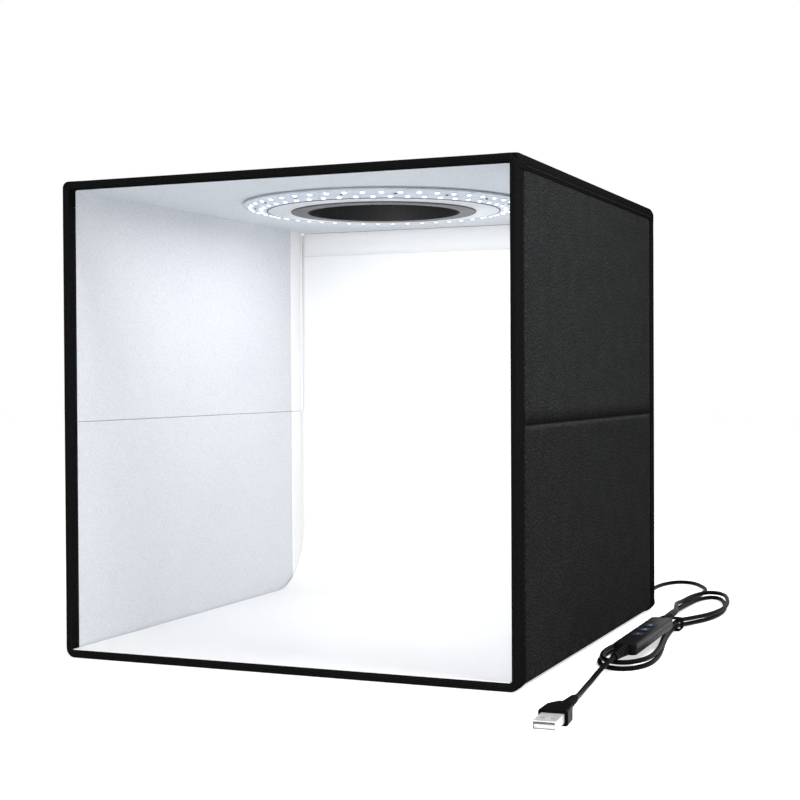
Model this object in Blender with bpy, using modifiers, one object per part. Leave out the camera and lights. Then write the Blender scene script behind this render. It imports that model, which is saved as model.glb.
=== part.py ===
"""Folding light tent cube with a ring light in its roof and an inline dimmer on its lead.

Metres, +Z up. The origin is the middle of the footprint, on the surface that the tent stands on.
-Y is the open front, +Y the back panel. Each side folds inward at its middle crease while the
roof comes straight down; the back panel folds forward onto the floor.
"""
import math

import bmesh
import bpy
import numpy as np
from mathutils import Matrix, Vector

# Tent
TENT_WIDTH = 0.300
TENT_HEIGHT = 0.299
SIDE_DEPTH = 0.324
PANEL_THICKNESS = 0.0048
GAP = 0.0003
OVERRUN = 0.002
MERGE_DISTANCE = 0.00001

# Cloth and stiffeners
TAPE_THICKNESS = 0.0005
TAPE_OUTER_WIDTH = 0.012
TAPE_INNER_WIDTH = 0.008
COVER_THICKNESS = 0.0005
LINING_THICKNESS = 0.0005
CORNER_RADIUS = 0.006
EDGE_RADIUS = 0.003
CORNER_SEGMENTS = 3

# Fold
SHEET_THICKNESS = 0.0004
HOOK_STRIP_THICKNESS = 0.0011
HOOK_STRIP_HEIGHT = 0.015
BACK_STANDOFF = 0.0025
BACK_SIDE_CLEARANCE = 0.0005
BACK_HINGE_CLEARANCE = 0.0010
BACK_TOP_CLEARANCE = 0.0008
FOLD_CLEARANCE = 0.0005
ROOF_SPINE_HEIGHT = 0.011

# Backdrop sheet
SHEET_SIDE_CLEARANCE = 0.0032
SHEET_SWEEP_RADIUS = 0.046
SHEET_SWEEP_STEPS = 12
SHEET_OVERLAP = 0.004
SHEET_FRONT_INSET = 0.001

# Ring light
ROUND_STEPS = 64
WINDOW_RADIUS = 0.052
FLANGE_WALL = 0.001
FLANGE_THICKNESS = 0.0009
FLANGE_LOWER_RADIUS = 0.0635
FLANGE_UPPER_RADIUS = 0.0600
LIGHT_OUTER_RADIUS = 0.0957
LIGHT_INNER_RADIUS = 0.0799
LIGHT_OUTER_DROP = 0.0012
LIGHT_INNER_DROP = 0.0050
LIGHT_BOARD_THICKNESS = 0.0010
CARRIER_FACE_DROP = 0.0052
LED_COUNT = 48
LED_LENGTH = 0.0035
LED_WIDTH = 0.0028
LED_HEIGHT = 0.0008
LED_SUNK = 0.0003
LED_ROW_INSET = 0.0042
INNER_LEAD_WIDTH = 0.003
INNER_LEAD_THICKNESS = 0.0006
INNER_LEAD_ANGLE = math.radians(38)
INNER_LEAD_CORNER_INSET = 0.009
INNER_LEAD_REAR_INSET = 0.006

# Window flap
FLAP_MARGIN = 0.002
FLAP_BOARD_THICKNESS = 0.0012
FLAP_STRIP_DEPTH = 0.014
FLAP_STRIP_THICKNESS = 0.0026
FLAP_TAB_LENGTH = 0.014
FLAP_TAB_WIDTH = 0.016
FLAP_TAB_THICKNESS = 0.0008

# Cord
CORD_DIAMETER = 0.003
CORD_SIDES_RESOLUTION = 2
HANK_SIDES_RESOLUTION = 1
CORD_POINT_STEP = 0.008
DROP_SIDE_INSET = 0.0035
DROP_FOOT_HEIGHT = 0.020
EXIT_BLOCK_WIDTH = 0.006
EXIT_BLOCK_DEPTH = 0.0068
EXIT_BLOCK_HEIGHT = 0.0097
EXIT_BLOCK_DROP = 0.0062

# Hank
HANK_TURNS = 2
HANK_POINTS_PER_TURN = 24
HANK_START_TURN = -0.10
HANK_HALF_LENGTH = 0.156
HANK_WAIST_HALF_WIDTH = 0.0022
HANK_FAR_LOBE = 0.0175
HANK_FAR_FULLNESS = 0.2
HANK_NEAR_LOBE = 0.034
HANK_NEAR_FULLNESS = 2.0
HANK_STRAIGHT_WAIST = 0.035
HANK_POINT_SPREAD = 0.28
HANK_STEP = 0.0037
HANK_LAYER_RISE = 0.0036
HANK_CLIMB_TURNS = 0.30
HANK_START_ANGLE = math.radians(-55)
HANK_WAIST_X = 0.181
HANK_FAR_SHIFT = 0.005
HANK_NEAR_SHIFT = 0.003
HANK_MIDDLE_Y = 0.0714
HANK_WAIST_LIFT = 0.0012
HANK_LIFT_LENGTH = 0.022
TIE_WIDTH = 0.009
TIE_THICKNESS = 0.0007

# Dimmer on the lead
DIMMER_LENGTH = 0.102
DIMMER_WIDTH = 0.0145
DIMMER_HEIGHT = 0.0068
DIMMER_WALL = 0.0010
DIMMER_CORNER = 0.003
DIMMER_EDGE = 0.0008
DIMMER_CENTRE = Vector((0.1845, -0.0177, 0.0109))
DIMMER_TILT = math.radians(0.6)
DIMMER_BOARD_THICKNESS = 0.001
DIMMER_BOARD_LENGTH = 0.090
BUTTON_LENGTH = 0.009
BUTTON_WIDTH = 0.0066
BUTTON_CORNER = 0.0015
BUTTON_PROUD = 0.0004
BUTTON_DEPTH = 0.0030
BUTTON_PITCH = 0.0165
BOOT_LENGTH = 0.024
BOOT_BASE_RADIUS = 0.0040
BOOT_TIP_RADIUS = 0.0023
BOOT_RIBS = 5
BOOT_GROOVE_DEPTH = 0.0005
TURNED_STEPS = 16

# Plug
PLUG_START = Vector((0.1873, -0.1868, 0.0042))
PLUG_TURN = math.radians(183.2)
PLUG_NECK_LENGTH = 0.022
PLUG_NECK_TIP_RADIUS = 0.0024
PLUG_NECK_BASE_RADIUS = 0.0034
PLUG_NECK_RIBS = 5
PLUG_BODY_LENGTH = 0.024
PLUG_BODY_WIDTH = 0.0155
PLUG_BODY_HEIGHT = 0.0080
PLUG_BODY_SHOULDER = 0.009
PLUG_SHOULDER_WIDTH = 0.0080
PLUG_SHOULDER_HEIGHT = 0.0070
PLUG_BODY_EDGE = 0.0012
SHELL_WIDTH = 0.012
SHELL_HEIGHT = 0.0045
SHELL_LENGTH = 0.0185
SHELL_WALL = 0.0004
SHELL_HOLE = 0.0024
SHELL_HOLE_SPACING = 0.0052
SHELL_HOLE_FROM_BODY = 0.0105
TONGUE_THICKNESS = 0.0018
TONGUE_SHORT_OF_MOUTH = 0.001

# Sizes that follow
HALF_WIDTH = TENT_WIDTH / 2
INNER_HALF_WIDTH = HALF_WIDTH - PANEL_THICKNESS
TOTAL_DEPTH = SIDE_DEPTH + BACK_STANDOFF + PANEL_THICKNESS
FRONT_Y = -TOTAL_DEPTH / 2
REAR_Y = FRONT_Y + SIDE_DEPTH
BACK_Y = REAR_Y + BACK_STANDOFF
SKIN = TAPE_THICKNESS + GAP
FLOOR_TOP = PANEL_THICKNESS
SHEET_BOTTOM = FLOOR_TOP + GAP
SHEET_TOP = SHEET_BOTTOM + SHEET_THICKNESS
BACK_HINGE_Z = SHEET_TOP + HOOK_STRIP_THICKNESS + BACK_HINGE_CLEARANCE
SIDE_HINGE_Z = BACK_HINGE_Z + PANEL_THICKNESS + FOLD_CLEARANCE
ROOF_UNDERSIDE = TENT_HEIGHT - PANEL_THICKNESS
ROOF_HINGE_Z = ROOF_UNDERSIDE - ROOF_SPINE_HEIGHT
CREASE_Z = (SIDE_HINGE_Z + ROOF_HINGE_Z) / 2
BACK_TOP = ROOF_UNDERSIDE - BACK_TOP_CLEARANCE
HOOK_STRIP_FRONT = BACK_Y + SKIN - GAP - HOOK_STRIP_THICKNESS
HOOK_STRIP_TOP = BACK_TOP - TAPE_THICKNESS - GAP
LIGHT_CENTRE_Y = FRONT_Y + SIDE_DEPTH / 2
ROOF_CLOTH_TOP = TENT_HEIGHT - SKIN
FLANGE_OUTER_WALL = WINDOW_RADIUS + FLANGE_WALL
FLANGE_TOP = ROOF_CLOTH_TOP + GAP + FLANGE_THICKNESS
FLAP_HALF = FLANGE_UPPER_RADIUS + FLAP_MARGIN
FLAP_BOTTOM = FLANGE_TOP + GAP
FLAP_TOP = FLAP_BOTTOM + FLAP_BOARD_THICKNESS + GAP + COVER_THICKNESS
FLAP_HINGE_Y = LIGHT_CENTRE_Y + FLAP_HALF
CORD_RADIUS = CORD_DIAMETER / 2
DROP_X = HALF_WIDTH - DROP_SIDE_INSET
BACK_HALF_WIDTH = DROP_X - EXIT_BLOCK_WIDTH / 2 - BACK_SIDE_CLEARANCE
SHEET_HALF_WIDTH = INNER_HALF_WIDTH - SHEET_SIDE_CLEARANCE
DROP_Y = REAR_Y + GAP + EXIT_BLOCK_DEPTH / 2
DROP_TOP = ROOF_UNDERSIDE - EXIT_BLOCK_DROP - GAP

bpy.context.scene.unit_settings.system = "METRIC"
for old in list(bpy.data.objects):
    bpy.data.objects.remove(old, do_unlink=True)

PARTS = bpy.data.collections.new("light_tent_cube")
CUTTERS = bpy.data.collections.new("cutters")
bpy.context.scene.collection.children.link(PARTS)
bpy.context.scene.collection.children.link(CUTTERS)


def make_material(name, colour, roughness, metallic=0.0):
    """A plain material in the part's colour."""
    material = bpy.data.materials.new(name)
    material.use_nodes = True
    shader = material.node_tree.nodes["Principled BSDF"]
    shader.inputs["Base Color"].default_value = (*colour, 1.0)
    shader.inputs["Roughness"].default_value = roughness
    shader.inputs["Metallic"].default_value = metallic
    return material


COLOURS = {
    "outer_cloth": ((0.017, 0.018, 0.019), 0.90, 0.0),
    "tape": ((0.006, 0.006, 0.006), 0.80, 0.0),
    "board": ((0.55, 0.55, 0.53), 0.60, 0.0),
    "lining": ((0.70, 0.71, 0.75), 0.45, 0.3),
    "white_sheet": ((0.90, 0.90, 0.90), 0.50, 0.0),
    "white_strip": ((0.82, 0.82, 0.82), 0.80, 0.0),
    "light_board": ((0.78, 0.82, 0.88), 0.40, 0.0),
    "led": ((0.95, 0.95, 0.90), 0.25, 0.0),
    "dark_trim": ((0.05, 0.05, 0.055), 0.60, 0.0),
    "flange": ((0.10, 0.10, 0.105), 0.55, 0.0),
    "flap": ((0.010, 0.010, 0.011), 0.85, 0.0),
    "cord": ((0.012, 0.012, 0.013), 0.50, 0.0),
    "dimmer": ((0.022, 0.022, 0.026), 0.45, 0.0),
    "button": ((0.030, 0.045, 0.075), 0.50, 0.0),
    "circuit": ((0.03, 0.16, 0.07), 0.50, 0.0),
    "plug_metal": ((0.75, 0.75, 0.76), 0.25, 1.0),
    "tongue": ((0.85, 0.85, 0.84), 0.50, 0.0),
}
MATERIALS = {name: make_material(name, *values) for name, values in COLOURS.items()}


def add_object(name, mesh, material=None, collection=PARTS, parent=None):
    """Link a mesh as an object, in the part's collection or among the cutters."""
    obj = bpy.data.objects.new(name, mesh)
    collection.objects.link(obj)
    if material:
        obj.data.materials.append(MATERIALS[material])
    if collection is CUTTERS:
        obj.hide_render = True
        obj.display_type = "WIRE"
    obj.parent = parent
    return obj


def slab(name, low, high, material=None, collection=PARTS, parent=None,
         corner_axis=None, corner=0.0, rim_axis=None, rim_side=1, rim=0.0):
    """A box from low to high, with rounded corners along an axis and one rounded rim."""
    low, high = Vector(low), Vector(high)
    bm = bmesh.new()
    bmesh.ops.create_cube(bm, size=1.0)
    size, centre = high - low, (high + low) / 2
    for vert in bm.verts:
        vert.co = Vector(vert.co[i] * size[i] + centre[i] for i in range(3))
    if corner_axis is not None and corner:
        edges = [e for e in bm.edges
                 if abs((e.verts[0].co - e.verts[1].co).normalized()[corner_axis]) > 0.99]
        bmesh.ops.bevel(bm, geom=edges, offset=corner, segments=CORNER_SEGMENTS,
                        profile=0.5, affect="EDGES")
    if rim_axis is not None and rim:
        level = high[rim_axis] if rim_side > 0 else low[rim_axis]
        edges = [e for e in bm.edges
                 if all(abs(v.co[rim_axis] - level) < GAP / 10 for v in e.verts)]
        bmesh.ops.bevel(bm, geom=edges, offset=rim, segments=CORNER_SEGMENTS,
                        profile=0.5, affect="EDGES")
    bmesh.ops.recalc_face_normals(bm, faces=bm.faces)
    mesh = bpy.data.meshes.new(name)
    bm.to_mesh(mesh)
    bm.free()
    return add_object(name, mesh, material, collection, parent)


def cylinder(name, radius, low_z, high_z, centre, collection=CUTTERS):
    """An upright cylinder about a centre."""
    bm = bmesh.new()
    middle = Matrix.Translation((centre[0], centre[1], (low_z + high_z) / 2))
    bmesh.ops.create_cone(bm, cap_ends=True, segments=ROUND_STEPS, radius1=radius,
                          radius2=radius, depth=high_z - low_z, matrix=middle)
    mesh = bpy.data.meshes.new(name)
    bm.to_mesh(mesh)
    bm.free()
    return add_object(name, mesh, None, collection)


def cut(obj, cutter):
    """Take the cutter out of the object."""
    modifier = obj.modifiers.new("cut " + cutter.name, "BOOLEAN")
    modifier.operation = "DIFFERENCE"
    modifier.solver = "EXACT"
    modifier.object = cutter
    return obj


def turned(name, profiles, material, centre):
    """Closed profiles of (radius, height) points turned about an upright axis at the centre."""
    bm = bmesh.new()
    for profile in profiles:
        verts = [bm.verts.new((radius, 0.0, height)) for radius, height in profile]
        for first, second in zip(verts, verts[1:] + verts[:1]):
            bm.edges.new((first, second))
    mesh = bpy.data.meshes.new(name)
    bm.to_mesh(mesh)
    bm.free()
    obj = add_object(name, mesh, material)
    obj.location = centre
    screw = obj.modifiers.new("turn", "SCREW")
    screw.axis = "Z"
    screw.steps = screw.render_steps = ROUND_STEPS
    screw.use_merge_vertices = True
    screw.merge_threshold = MERGE_DISTANCE
    return obj


def tube(name, points, material, resolution=CORD_SIDES_RESOLUTION):
    """A round cord along points, as a straight-edged spline with filled caps."""
    curve = bpy.data.curves.new(name, "CURVE")
    curve.dimensions = "3D"
    curve.bevel_depth = CORD_RADIUS
    curve.bevel_resolution = resolution
    curve.use_fill_caps = True
    spline = curve.splines.new("POLY")
    spline.points.add(len(points) - 1)
    for slot, point in zip(spline.points, points):
        slot.co = (*point, 1.0)
    return add_object(name, curve, material)


def smooth_route(points, step=CORD_POINT_STEP):
    """Points at an even step along a smooth curve through the route's own points."""
    route = [Vector(p) for p in points]
    ends = [route[0] * 2 - route[1]] + route + [route[-1] * 2 - route[-2]]
    fine = []
    samples_per_span = 24
    for a, b, c, d in zip(ends, ends[1:], ends[2:], ends[3:]):
        for i in range(samples_per_span):
            t = i / samples_per_span
            fine.append(((b * 2) + (c - a) * t + (a * 2 - b * 5 + c * 4 - d) * t ** 2
                         + (b * 3 - a - c * 3 + d) * t ** 3) / 2)
    fine.append(route[-1])
    lengths = np.cumsum([0.0] + [(q - p).length for p, q in zip(fine, fine[1:])])
    count = max(2, int(round(lengths[-1] / step)))
    wanted = np.linspace(0.0, lengths[-1], count + 1)
    table = np.array([tuple(p) for p in fine])
    return [Vector(np.interp(w, lengths, table[:, k]) for k in range(3)) for w in wanted]


def straight_ends(points, first_direction, last_direction):
    """Make the first and last runs straight for one diameter, square to what they meet."""
    start, end = points[0], points[-1]
    head = [start, start + first_direction * CORD_DIAMETER]
    tail = [end - last_direction * CORD_DIAMETER, end]
    middle = [p for p in points[1:-1]
              if (p - start).length > CORD_DIAMETER * 2 and (p - end).length > CORD_DIAMETER * 2]
    return head + middle + tail


# A panel is its two in-plane axes, their ranges, its inner face and the way out of the tent.
class Panel:
    def __init__(self, name, axes, first, second, inner, outward):
        self.name = name
        self.axes = axes
        self.ranges = (first, second)
        self.inner = inner
        self.outward = outward

    def corners(self, first, second, depth):
        """World corners of a box given in the panel's own directions."""
        low, high = [0.0] * 3, [0.0] * 3
        for axis, span in zip(self.axes[:2], (first, second)):
            low[axis], high[axis] = min(span), max(span)
        levels = [self.inner + self.outward * d for d in depth]
        low[self.axes[2]], high[self.axes[2]] = min(levels), max(levels)
        return low, high


WEB, OUTER, FULL = "web", "outer", "full"


def inset_range(panel, index, binding, amounts):
    """A panel's range with each end moved in by the amount for how that edge is bound."""
    low, high = panel.ranges[index]
    return low + amounts[binding[2 * index]], high - amounts[binding[2 * index + 1]]


def make_panel(panel, binding, lining_material="lining", corner=CORNER_RADIUS, rim=0.0,
               hole=None):
    """Binding tape, outer cover, stiffener board and lining of one panel.

    binding says for each edge (first low, first high, second low, second high) whether the tape
    covers the edge alone, the edge and the outer face, or both faces. A rounded rim is solid.
    """
    axis = panel.axes[2]
    edge = max(rim, TAPE_THICKNESS)
    tape = slab(panel.name + "_binding", *panel.corners(*panel.ranges, (0.0, PANEL_THICKNESS)),
                material="tape", corner_axis=axis, corner=corner,
                rim_axis=axis if rim else None, rim_side=panel.outward, rim=rim)
    cavity = {WEB: edge, OUTER: edge, FULL: edge}
    outer_window = {WEB: edge, OUTER: TAPE_OUTER_WIDTH, FULL: TAPE_OUTER_WIDTH}
    inner_window = {WEB: edge, OUTER: edge, FULL: TAPE_INNER_WIDTH}
    windows = (("cavity", cavity, (TAPE_THICKNESS, PANEL_THICKNESS - TAPE_THICKNESS)),
               ("outer_window", outer_window,
                (PANEL_THICKNESS - TAPE_THICKNESS - GAP, PANEL_THICKNESS + OVERRUN)),
               ("inner_window", inner_window, (-OVERRUN, TAPE_THICKNESS + GAP)))
    for label, amounts, depth in windows:
        spans = [inset_range(panel, i, binding, amounts) for i in range(2)]
        radius = corner - edge if label == "cavity" and corner else 0.0
        low, high = panel.corners(*spans, depth)
        cut(tape, slab(f"{panel.name}_{label}", low, high, collection=CUTTERS,
                       corner_axis=axis, corner=radius))
    spans = [(low + edge + GAP, high - edge - GAP) for low, high in panel.ranges]
    lining_top = SKIN + LINING_THICKNESS
    cover_bottom = PANEL_THICKNESS - SKIN - COVER_THICKNESS
    layers = (("lining", lining_material, SKIN, lining_top),
              ("board", "board", lining_top + GAP, cover_bottom - GAP),
              ("cover", "outer_cloth", cover_bottom, cover_bottom + COVER_THICKNESS))
    radius = corner - edge - GAP if corner else 0.0
    for label, material, bottom, top in layers:
        low, high = panel.corners(*spans, (bottom, top))
        layer = slab(f"{panel.name}_{label}", low, high, material, corner_axis=axis,
                     corner=radius)
        if hole:
            cut(layer, hole)
    return tape


def side_spines(name, low_z, high_z):
    """A stiff strip along each side, between a hinge line and the floor or the roof."""
    for side, word in ((-1, "left"), (1, "right")):
        xs = sorted((side * INNER_HALF_WIDTH, side * (HALF_WIDTH - SKIN)))
        slab(f"{name}_{word}_spine", (xs[0], FRONT_Y + GAP, low_z),
             (xs[1], REAR_Y - GAP, high_z), "outer_cloth")


def floor_and_spines():
    floor = Panel("floor", (0, 1, 2), (-HALF_WIDTH, HALF_WIDTH), (FRONT_Y, REAR_Y), FLOOR_TOP, -1)
    make_panel(floor, (OUTER, OUTER, FULL, OUTER), rim=EDGE_RADIUS)
    bottom = FLOOR_TOP + GAP
    half = BACK_HALF_WIDTH
    side_spines("floor", bottom, SIDE_HINGE_Z - GAP)
    slab("floor_rear_spine", (-half, REAR_Y - PANEL_THICKNESS, bottom),
         (half, BACK_Y - GAP, BACK_HINGE_Z - GAP), "outer_cloth")


def side_panels():
    """Each side is two halves that meet at a crease, taped along the front and rear edges."""
    clear = GAP / 2
    lower = (SIDE_HINGE_Z + clear, CREASE_Z - clear)
    upper = (CREASE_Z + clear, ROOF_HINGE_Z - clear)
    for side, word in ((-1, "left"), (1, "right")):
        for span, level in ((lower, "lower"), (upper, "upper")):
            half = Panel(f"{word}_{level}", (1, 2, 0), (FRONT_Y, REAR_Y), span,
                         side * INNER_HALF_WIDTH, side)
            make_panel(half, (FULL, OUTER, WEB, WEB), corner=0.0)


def roof_panel():
    centre = (0.0, LIGHT_CENTRE_Y)
    hole = cylinder("roof_hole", FLANGE_OUTER_WALL + GAP, ROOF_UNDERSIDE - OVERRUN,
                    TENT_HEIGHT + OVERRUN, centre)
    roof = Panel("roof", (0, 1, 2), (-HALF_WIDTH, HALF_WIDTH), (FRONT_Y, REAR_Y),
                 ROOF_UNDERSIDE, 1)
    make_panel(roof, (OUTER, OUTER, FULL, OUTER), rim=EDGE_RADIUS, hole=hole)
    side_spines("roof", ROOF_HINGE_Z + GAP, ROOF_UNDERSIDE - GAP)


def back_panel():
    half = BACK_HALF_WIDTH
    back = Panel("back", (0, 2, 1), (-half, half), (BACK_HINGE_Z, BACK_TOP), BACK_Y, 1)
    make_panel(back, (OUTER, OUTER, OUTER, OUTER), lining_material="white_sheet")
    slab("hook_strip",
         (-SHEET_HALF_WIDTH, HOOK_STRIP_FRONT, HOOK_STRIP_TOP - HOOK_STRIP_HEIGHT),
         (SHEET_HALF_WIDTH, HOOK_STRIP_FRONT + HOOK_STRIP_THICKNESS, HOOK_STRIP_TOP),
         "white_strip")


def backdrop_sheet():
    """A white sheet that lies on the floor, sweeps up and hangs in front of the back panel."""
    vertical_y = HOOK_STRIP_FRONT - GAP
    centre_y = vertical_y - SHEET_SWEEP_RADIUS
    centre_z = SHEET_BOTTOM + SHEET_SWEEP_RADIUS
    path = [(FRONT_Y + SHEET_FRONT_INSET, SHEET_BOTTOM)]
    for i in range(SHEET_SWEEP_STEPS + 1):
        angle = math.pi / 2 * i / SHEET_SWEEP_STEPS
        path.append((centre_y + SHEET_SWEEP_RADIUS * math.sin(angle),
                     centre_z - SHEET_SWEEP_RADIUS * math.cos(angle)))
    path.append((vertical_y, HOOK_STRIP_TOP - HOOK_STRIP_HEIGHT + SHEET_OVERLAP))
    sides = (-SHEET_HALF_WIDTH, SHEET_HALF_WIDTH)
    bm = bmesh.new()
    rows = [[bm.verts.new((x, y, z)) for x in sides] for y, z in path]
    for (a, b), (c, d) in zip(rows, rows[1:]):
        bm.faces.new((a, b, d, c))
    mesh = bpy.data.meshes.new("backdrop_sheet")
    bm.to_mesh(mesh)
    bm.free()
    obj = add_object("backdrop_sheet", mesh, "white_sheet")
    solidify = obj.modifiers.new("thickness", "SOLIDIFY")
    solidify.thickness = SHEET_THICKNESS
    solidify.offset = 1.0
    return obj


def board_level(radius):
    """Drop of the light board's lower face below the roof's underside at a radius."""
    share = (LIGHT_OUTER_RADIUS - radius) / (LIGHT_OUTER_RADIUS - LIGHT_INNER_RADIUS)
    return LIGHT_OUTER_DROP + share * (LIGHT_INNER_DROP - LIGHT_OUTER_DROP)


def ring_light():
    """A dished ring under the ceiling: foam carrier, light board, trims and window flange."""
    centre = (0.0, LIGHT_CENTRE_Y, ROOF_UNDERSIDE)
    top = SKIN - GAP
    board_over = LIGHT_BOARD_THICKNESS + GAP
    wall = FLANGE_OUTER_WALL + GAP
    carrier_outer = LIGHT_OUTER_RADIUS
    lower_flange_top = -CARRIER_FACE_DROP
    turned("light_carrier", [[
        (wall, top),
        (carrier_outer, top),
        (carrier_outer, -LIGHT_OUTER_DROP + board_over),
        (LIGHT_INNER_RADIUS - GAP, -LIGHT_INNER_DROP + board_over),
        (LIGHT_INNER_RADIUS - GAP, -CARRIER_FACE_DROP),
        (FLANGE_LOWER_RADIUS + GAP, -CARRIER_FACE_DROP),
        (FLANGE_LOWER_RADIUS + GAP, lower_flange_top + GAP),
        (wall, lower_flange_top + GAP),
    ]], "white_strip", centre)
    board = turned("light_board", [[
        (LIGHT_INNER_RADIUS, -LIGHT_INNER_DROP),
        (LIGHT_INNER_RADIUS, -LIGHT_INNER_DROP + LIGHT_BOARD_THICKNESS),
        (LIGHT_OUTER_RADIUS, -LIGHT_OUTER_DROP + LIGHT_BOARD_THICKNESS),
        (LIGHT_OUTER_RADIUS, -LIGHT_OUTER_DROP),
    ]], "light_board", centre)
    chips = board.modifiers.new("chips", "BOOLEAN")
    chips.operation = "UNION"
    chips.solver = "EXACT"
    chips.object = light_chips()
    flange_top = FLANGE_TOP - ROOF_UNDERSIDE
    lower = -CARRIER_FACE_DROP - FLANGE_THICKNESS
    turned("window_flange", [[
        (WINDOW_RADIUS, flange_top),
        (FLANGE_UPPER_RADIUS, flange_top),
        (FLANGE_UPPER_RADIUS, flange_top - FLANGE_THICKNESS),
        (FLANGE_OUTER_WALL, flange_top - FLANGE_THICKNESS),
        (FLANGE_OUTER_WALL, lower + FLANGE_THICKNESS),
        (FLANGE_LOWER_RADIUS, lower + FLANGE_THICKNESS),
        (FLANGE_LOWER_RADIUS, lower + FLANGE_THICKNESS / 3),
        (FLANGE_LOWER_RADIUS - FLANGE_THICKNESS / 3, lower),
        (WINDOW_RADIUS, lower),
    ]], "flange", centre)


def light_chips():
    """Two staggered rows of chips, soldered to the underside of the sloping light board."""
    slope = math.atan2(LIGHT_INNER_DROP - LIGHT_OUTER_DROP,
                       LIGHT_OUTER_RADIUS - LIGHT_INNER_RADIUS)
    bm = bmesh.new()
    rows = (LIGHT_OUTER_RADIUS - LED_ROW_INSET, LIGHT_INNER_RADIUS + LED_ROW_INSET)
    size = Matrix.Diagonal((LED_WIDTH, LED_LENGTH, LED_HEIGHT, 1.0))
    for row, radius in enumerate(rows):
        for i in range(LED_COUNT):
            angle = 2 * math.pi * (i + row / 2) / LED_COUNT
            drop = board_level(radius) - LED_SUNK + LED_HEIGHT / 2
            place = (Matrix.Translation((0.0, LIGHT_CENTRE_Y, ROOF_UNDERSIDE - drop))
                     @ Matrix.Rotation(angle, 4, "Z")
                     @ Matrix.Translation((radius, 0.0, 0.0))
                     @ Matrix.Rotation(-slope, 4, "Y"))
            bmesh.ops.create_cube(bm, size=1.0, matrix=place @ size)
    mesh = bpy.data.meshes.new("light_chips")
    bm.to_mesh(mesh)
    bm.free()
    return add_object("light_chips", mesh, "led", CUTTERS)


def inner_lead():
    """A flat lead from the light board to the rear corner, under the ceiling."""
    radius = LIGHT_OUTER_RADIUS + GAP + INNER_LEAD_WIDTH / 2
    start = Vector((radius * math.cos(INNER_LEAD_ANGLE),
                    LIGHT_CENTRE_Y + radius * math.sin(INNER_LEAD_ANGLE), 0.0))
    end = Vector((HALF_WIDTH - INNER_LEAD_CORNER_INSET, REAR_Y - INNER_LEAD_REAR_INSET, 0.0))
    run = end - start
    half = run.length / 2
    top = SKIN - GAP
    obj = slab("inner_lead", (-half, -INNER_LEAD_WIDTH / 2, top - INNER_LEAD_THICKNESS),
               (half, INNER_LEAD_WIDTH / 2, top), "white_strip")
    middle = (start + end) / 2
    obj.location = (middle.x, middle.y, ROOF_UNDERSIDE)
    obj.rotation_euler = (0.0, 0.0, math.atan2(run.y, run.x))


def exit_block():
    """The block at the roof's rear corner where the cord comes out, downward."""
    x_low = DROP_X - EXIT_BLOCK_WIDTH / 2
    z_low = ROOF_UNDERSIDE - EXIT_BLOCK_DROP
    return slab("cord_exit_block", (x_low, REAR_Y + GAP, z_low),
                (x_low + EXIT_BLOCK_WIDTH, REAR_Y + GAP + EXIT_BLOCK_DEPTH,
                 z_low + EXIT_BLOCK_HEIGHT), "dimmer", corner_axis=2,
                corner=EXIT_BLOCK_WIDTH / 5)


def window_flap():
    """The flap that closes the window, hinged along its rear edge on the roof."""
    hinge = bpy.data.objects.new("flap_hinge_axis", None)
    PARTS.objects.link(hinge)
    hinge.location = (0.0, FLAP_HINGE_Y, FLAP_TOP)
    depth = 2 * FLAP_HALF
    board_low = FLAP_BOTTOM - FLAP_TOP
    board_high = board_low + FLAP_BOARD_THICKNESS
    slab("flap_board", (-FLAP_HALF, -depth, board_low), (FLAP_HALF, 0.0, board_high), "flap",
         parent=hinge, corner_axis=2, corner=CORNER_RADIUS)
    slab("flap_cover", (-FLAP_HALF, -depth, board_high + GAP), (FLAP_HALF, 0.0, 0.0),
         "outer_cloth", parent=hinge, corner_axis=2, corner=CORNER_RADIUS)
    slab("flap_pull_tab",
         (-FLAP_TAB_WIDTH / 2, -depth - GAP - FLAP_TAB_LENGTH, board_low),
         (FLAP_TAB_WIDTH / 2, -depth - GAP, board_low + FLAP_TAB_THICKNESS), "tape",
         parent=hinge, corner_axis=2, corner=FLAP_TAB_WIDTH / 5)
    strip_low = ROOF_CLOTH_TOP + GAP
    slab("flap_hinge_strip", (-FLAP_HALF, FLAP_HINGE_Y + GAP, strip_low),
         (FLAP_HALF, FLAP_HINGE_Y + GAP + FLAP_STRIP_DEPTH, strip_low + FLAP_STRIP_THICKNESS),
         "tape")


def hank_contour(angle):
    """Innermost loop of the hank at an angle: 0 at its far end, a quarter turn at its waist."""
    reach = max(abs(math.cos(angle)) - HANK_STRAIGHT_WAIST, 0.0) / (1 - HANK_STRAIGHT_WAIST)
    if math.cos(angle) > 0:
        lobe, fullness = HANK_FAR_LOBE, HANK_FAR_FULLNESS
        shift = HANK_FAR_SHIFT * math.sin(math.pi * reach) ** 2
    else:
        lobe, fullness = HANK_NEAR_LOBE, HANK_NEAR_FULLNESS
        shift = HANK_NEAR_SHIFT * reach ** 3
    share = reach ** 2 * (1 + fullness ** 2) / (reach ** 2 + fullness ** 2)
    width = HANK_WAIST_HALF_WIDTH + lobe * share
    return Vector((HANK_WAIST_X + shift + width * math.sin(angle),
                   HANK_MIDDLE_Y + HANK_HALF_LENGTH * math.cos(angle), 0.0))


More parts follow.
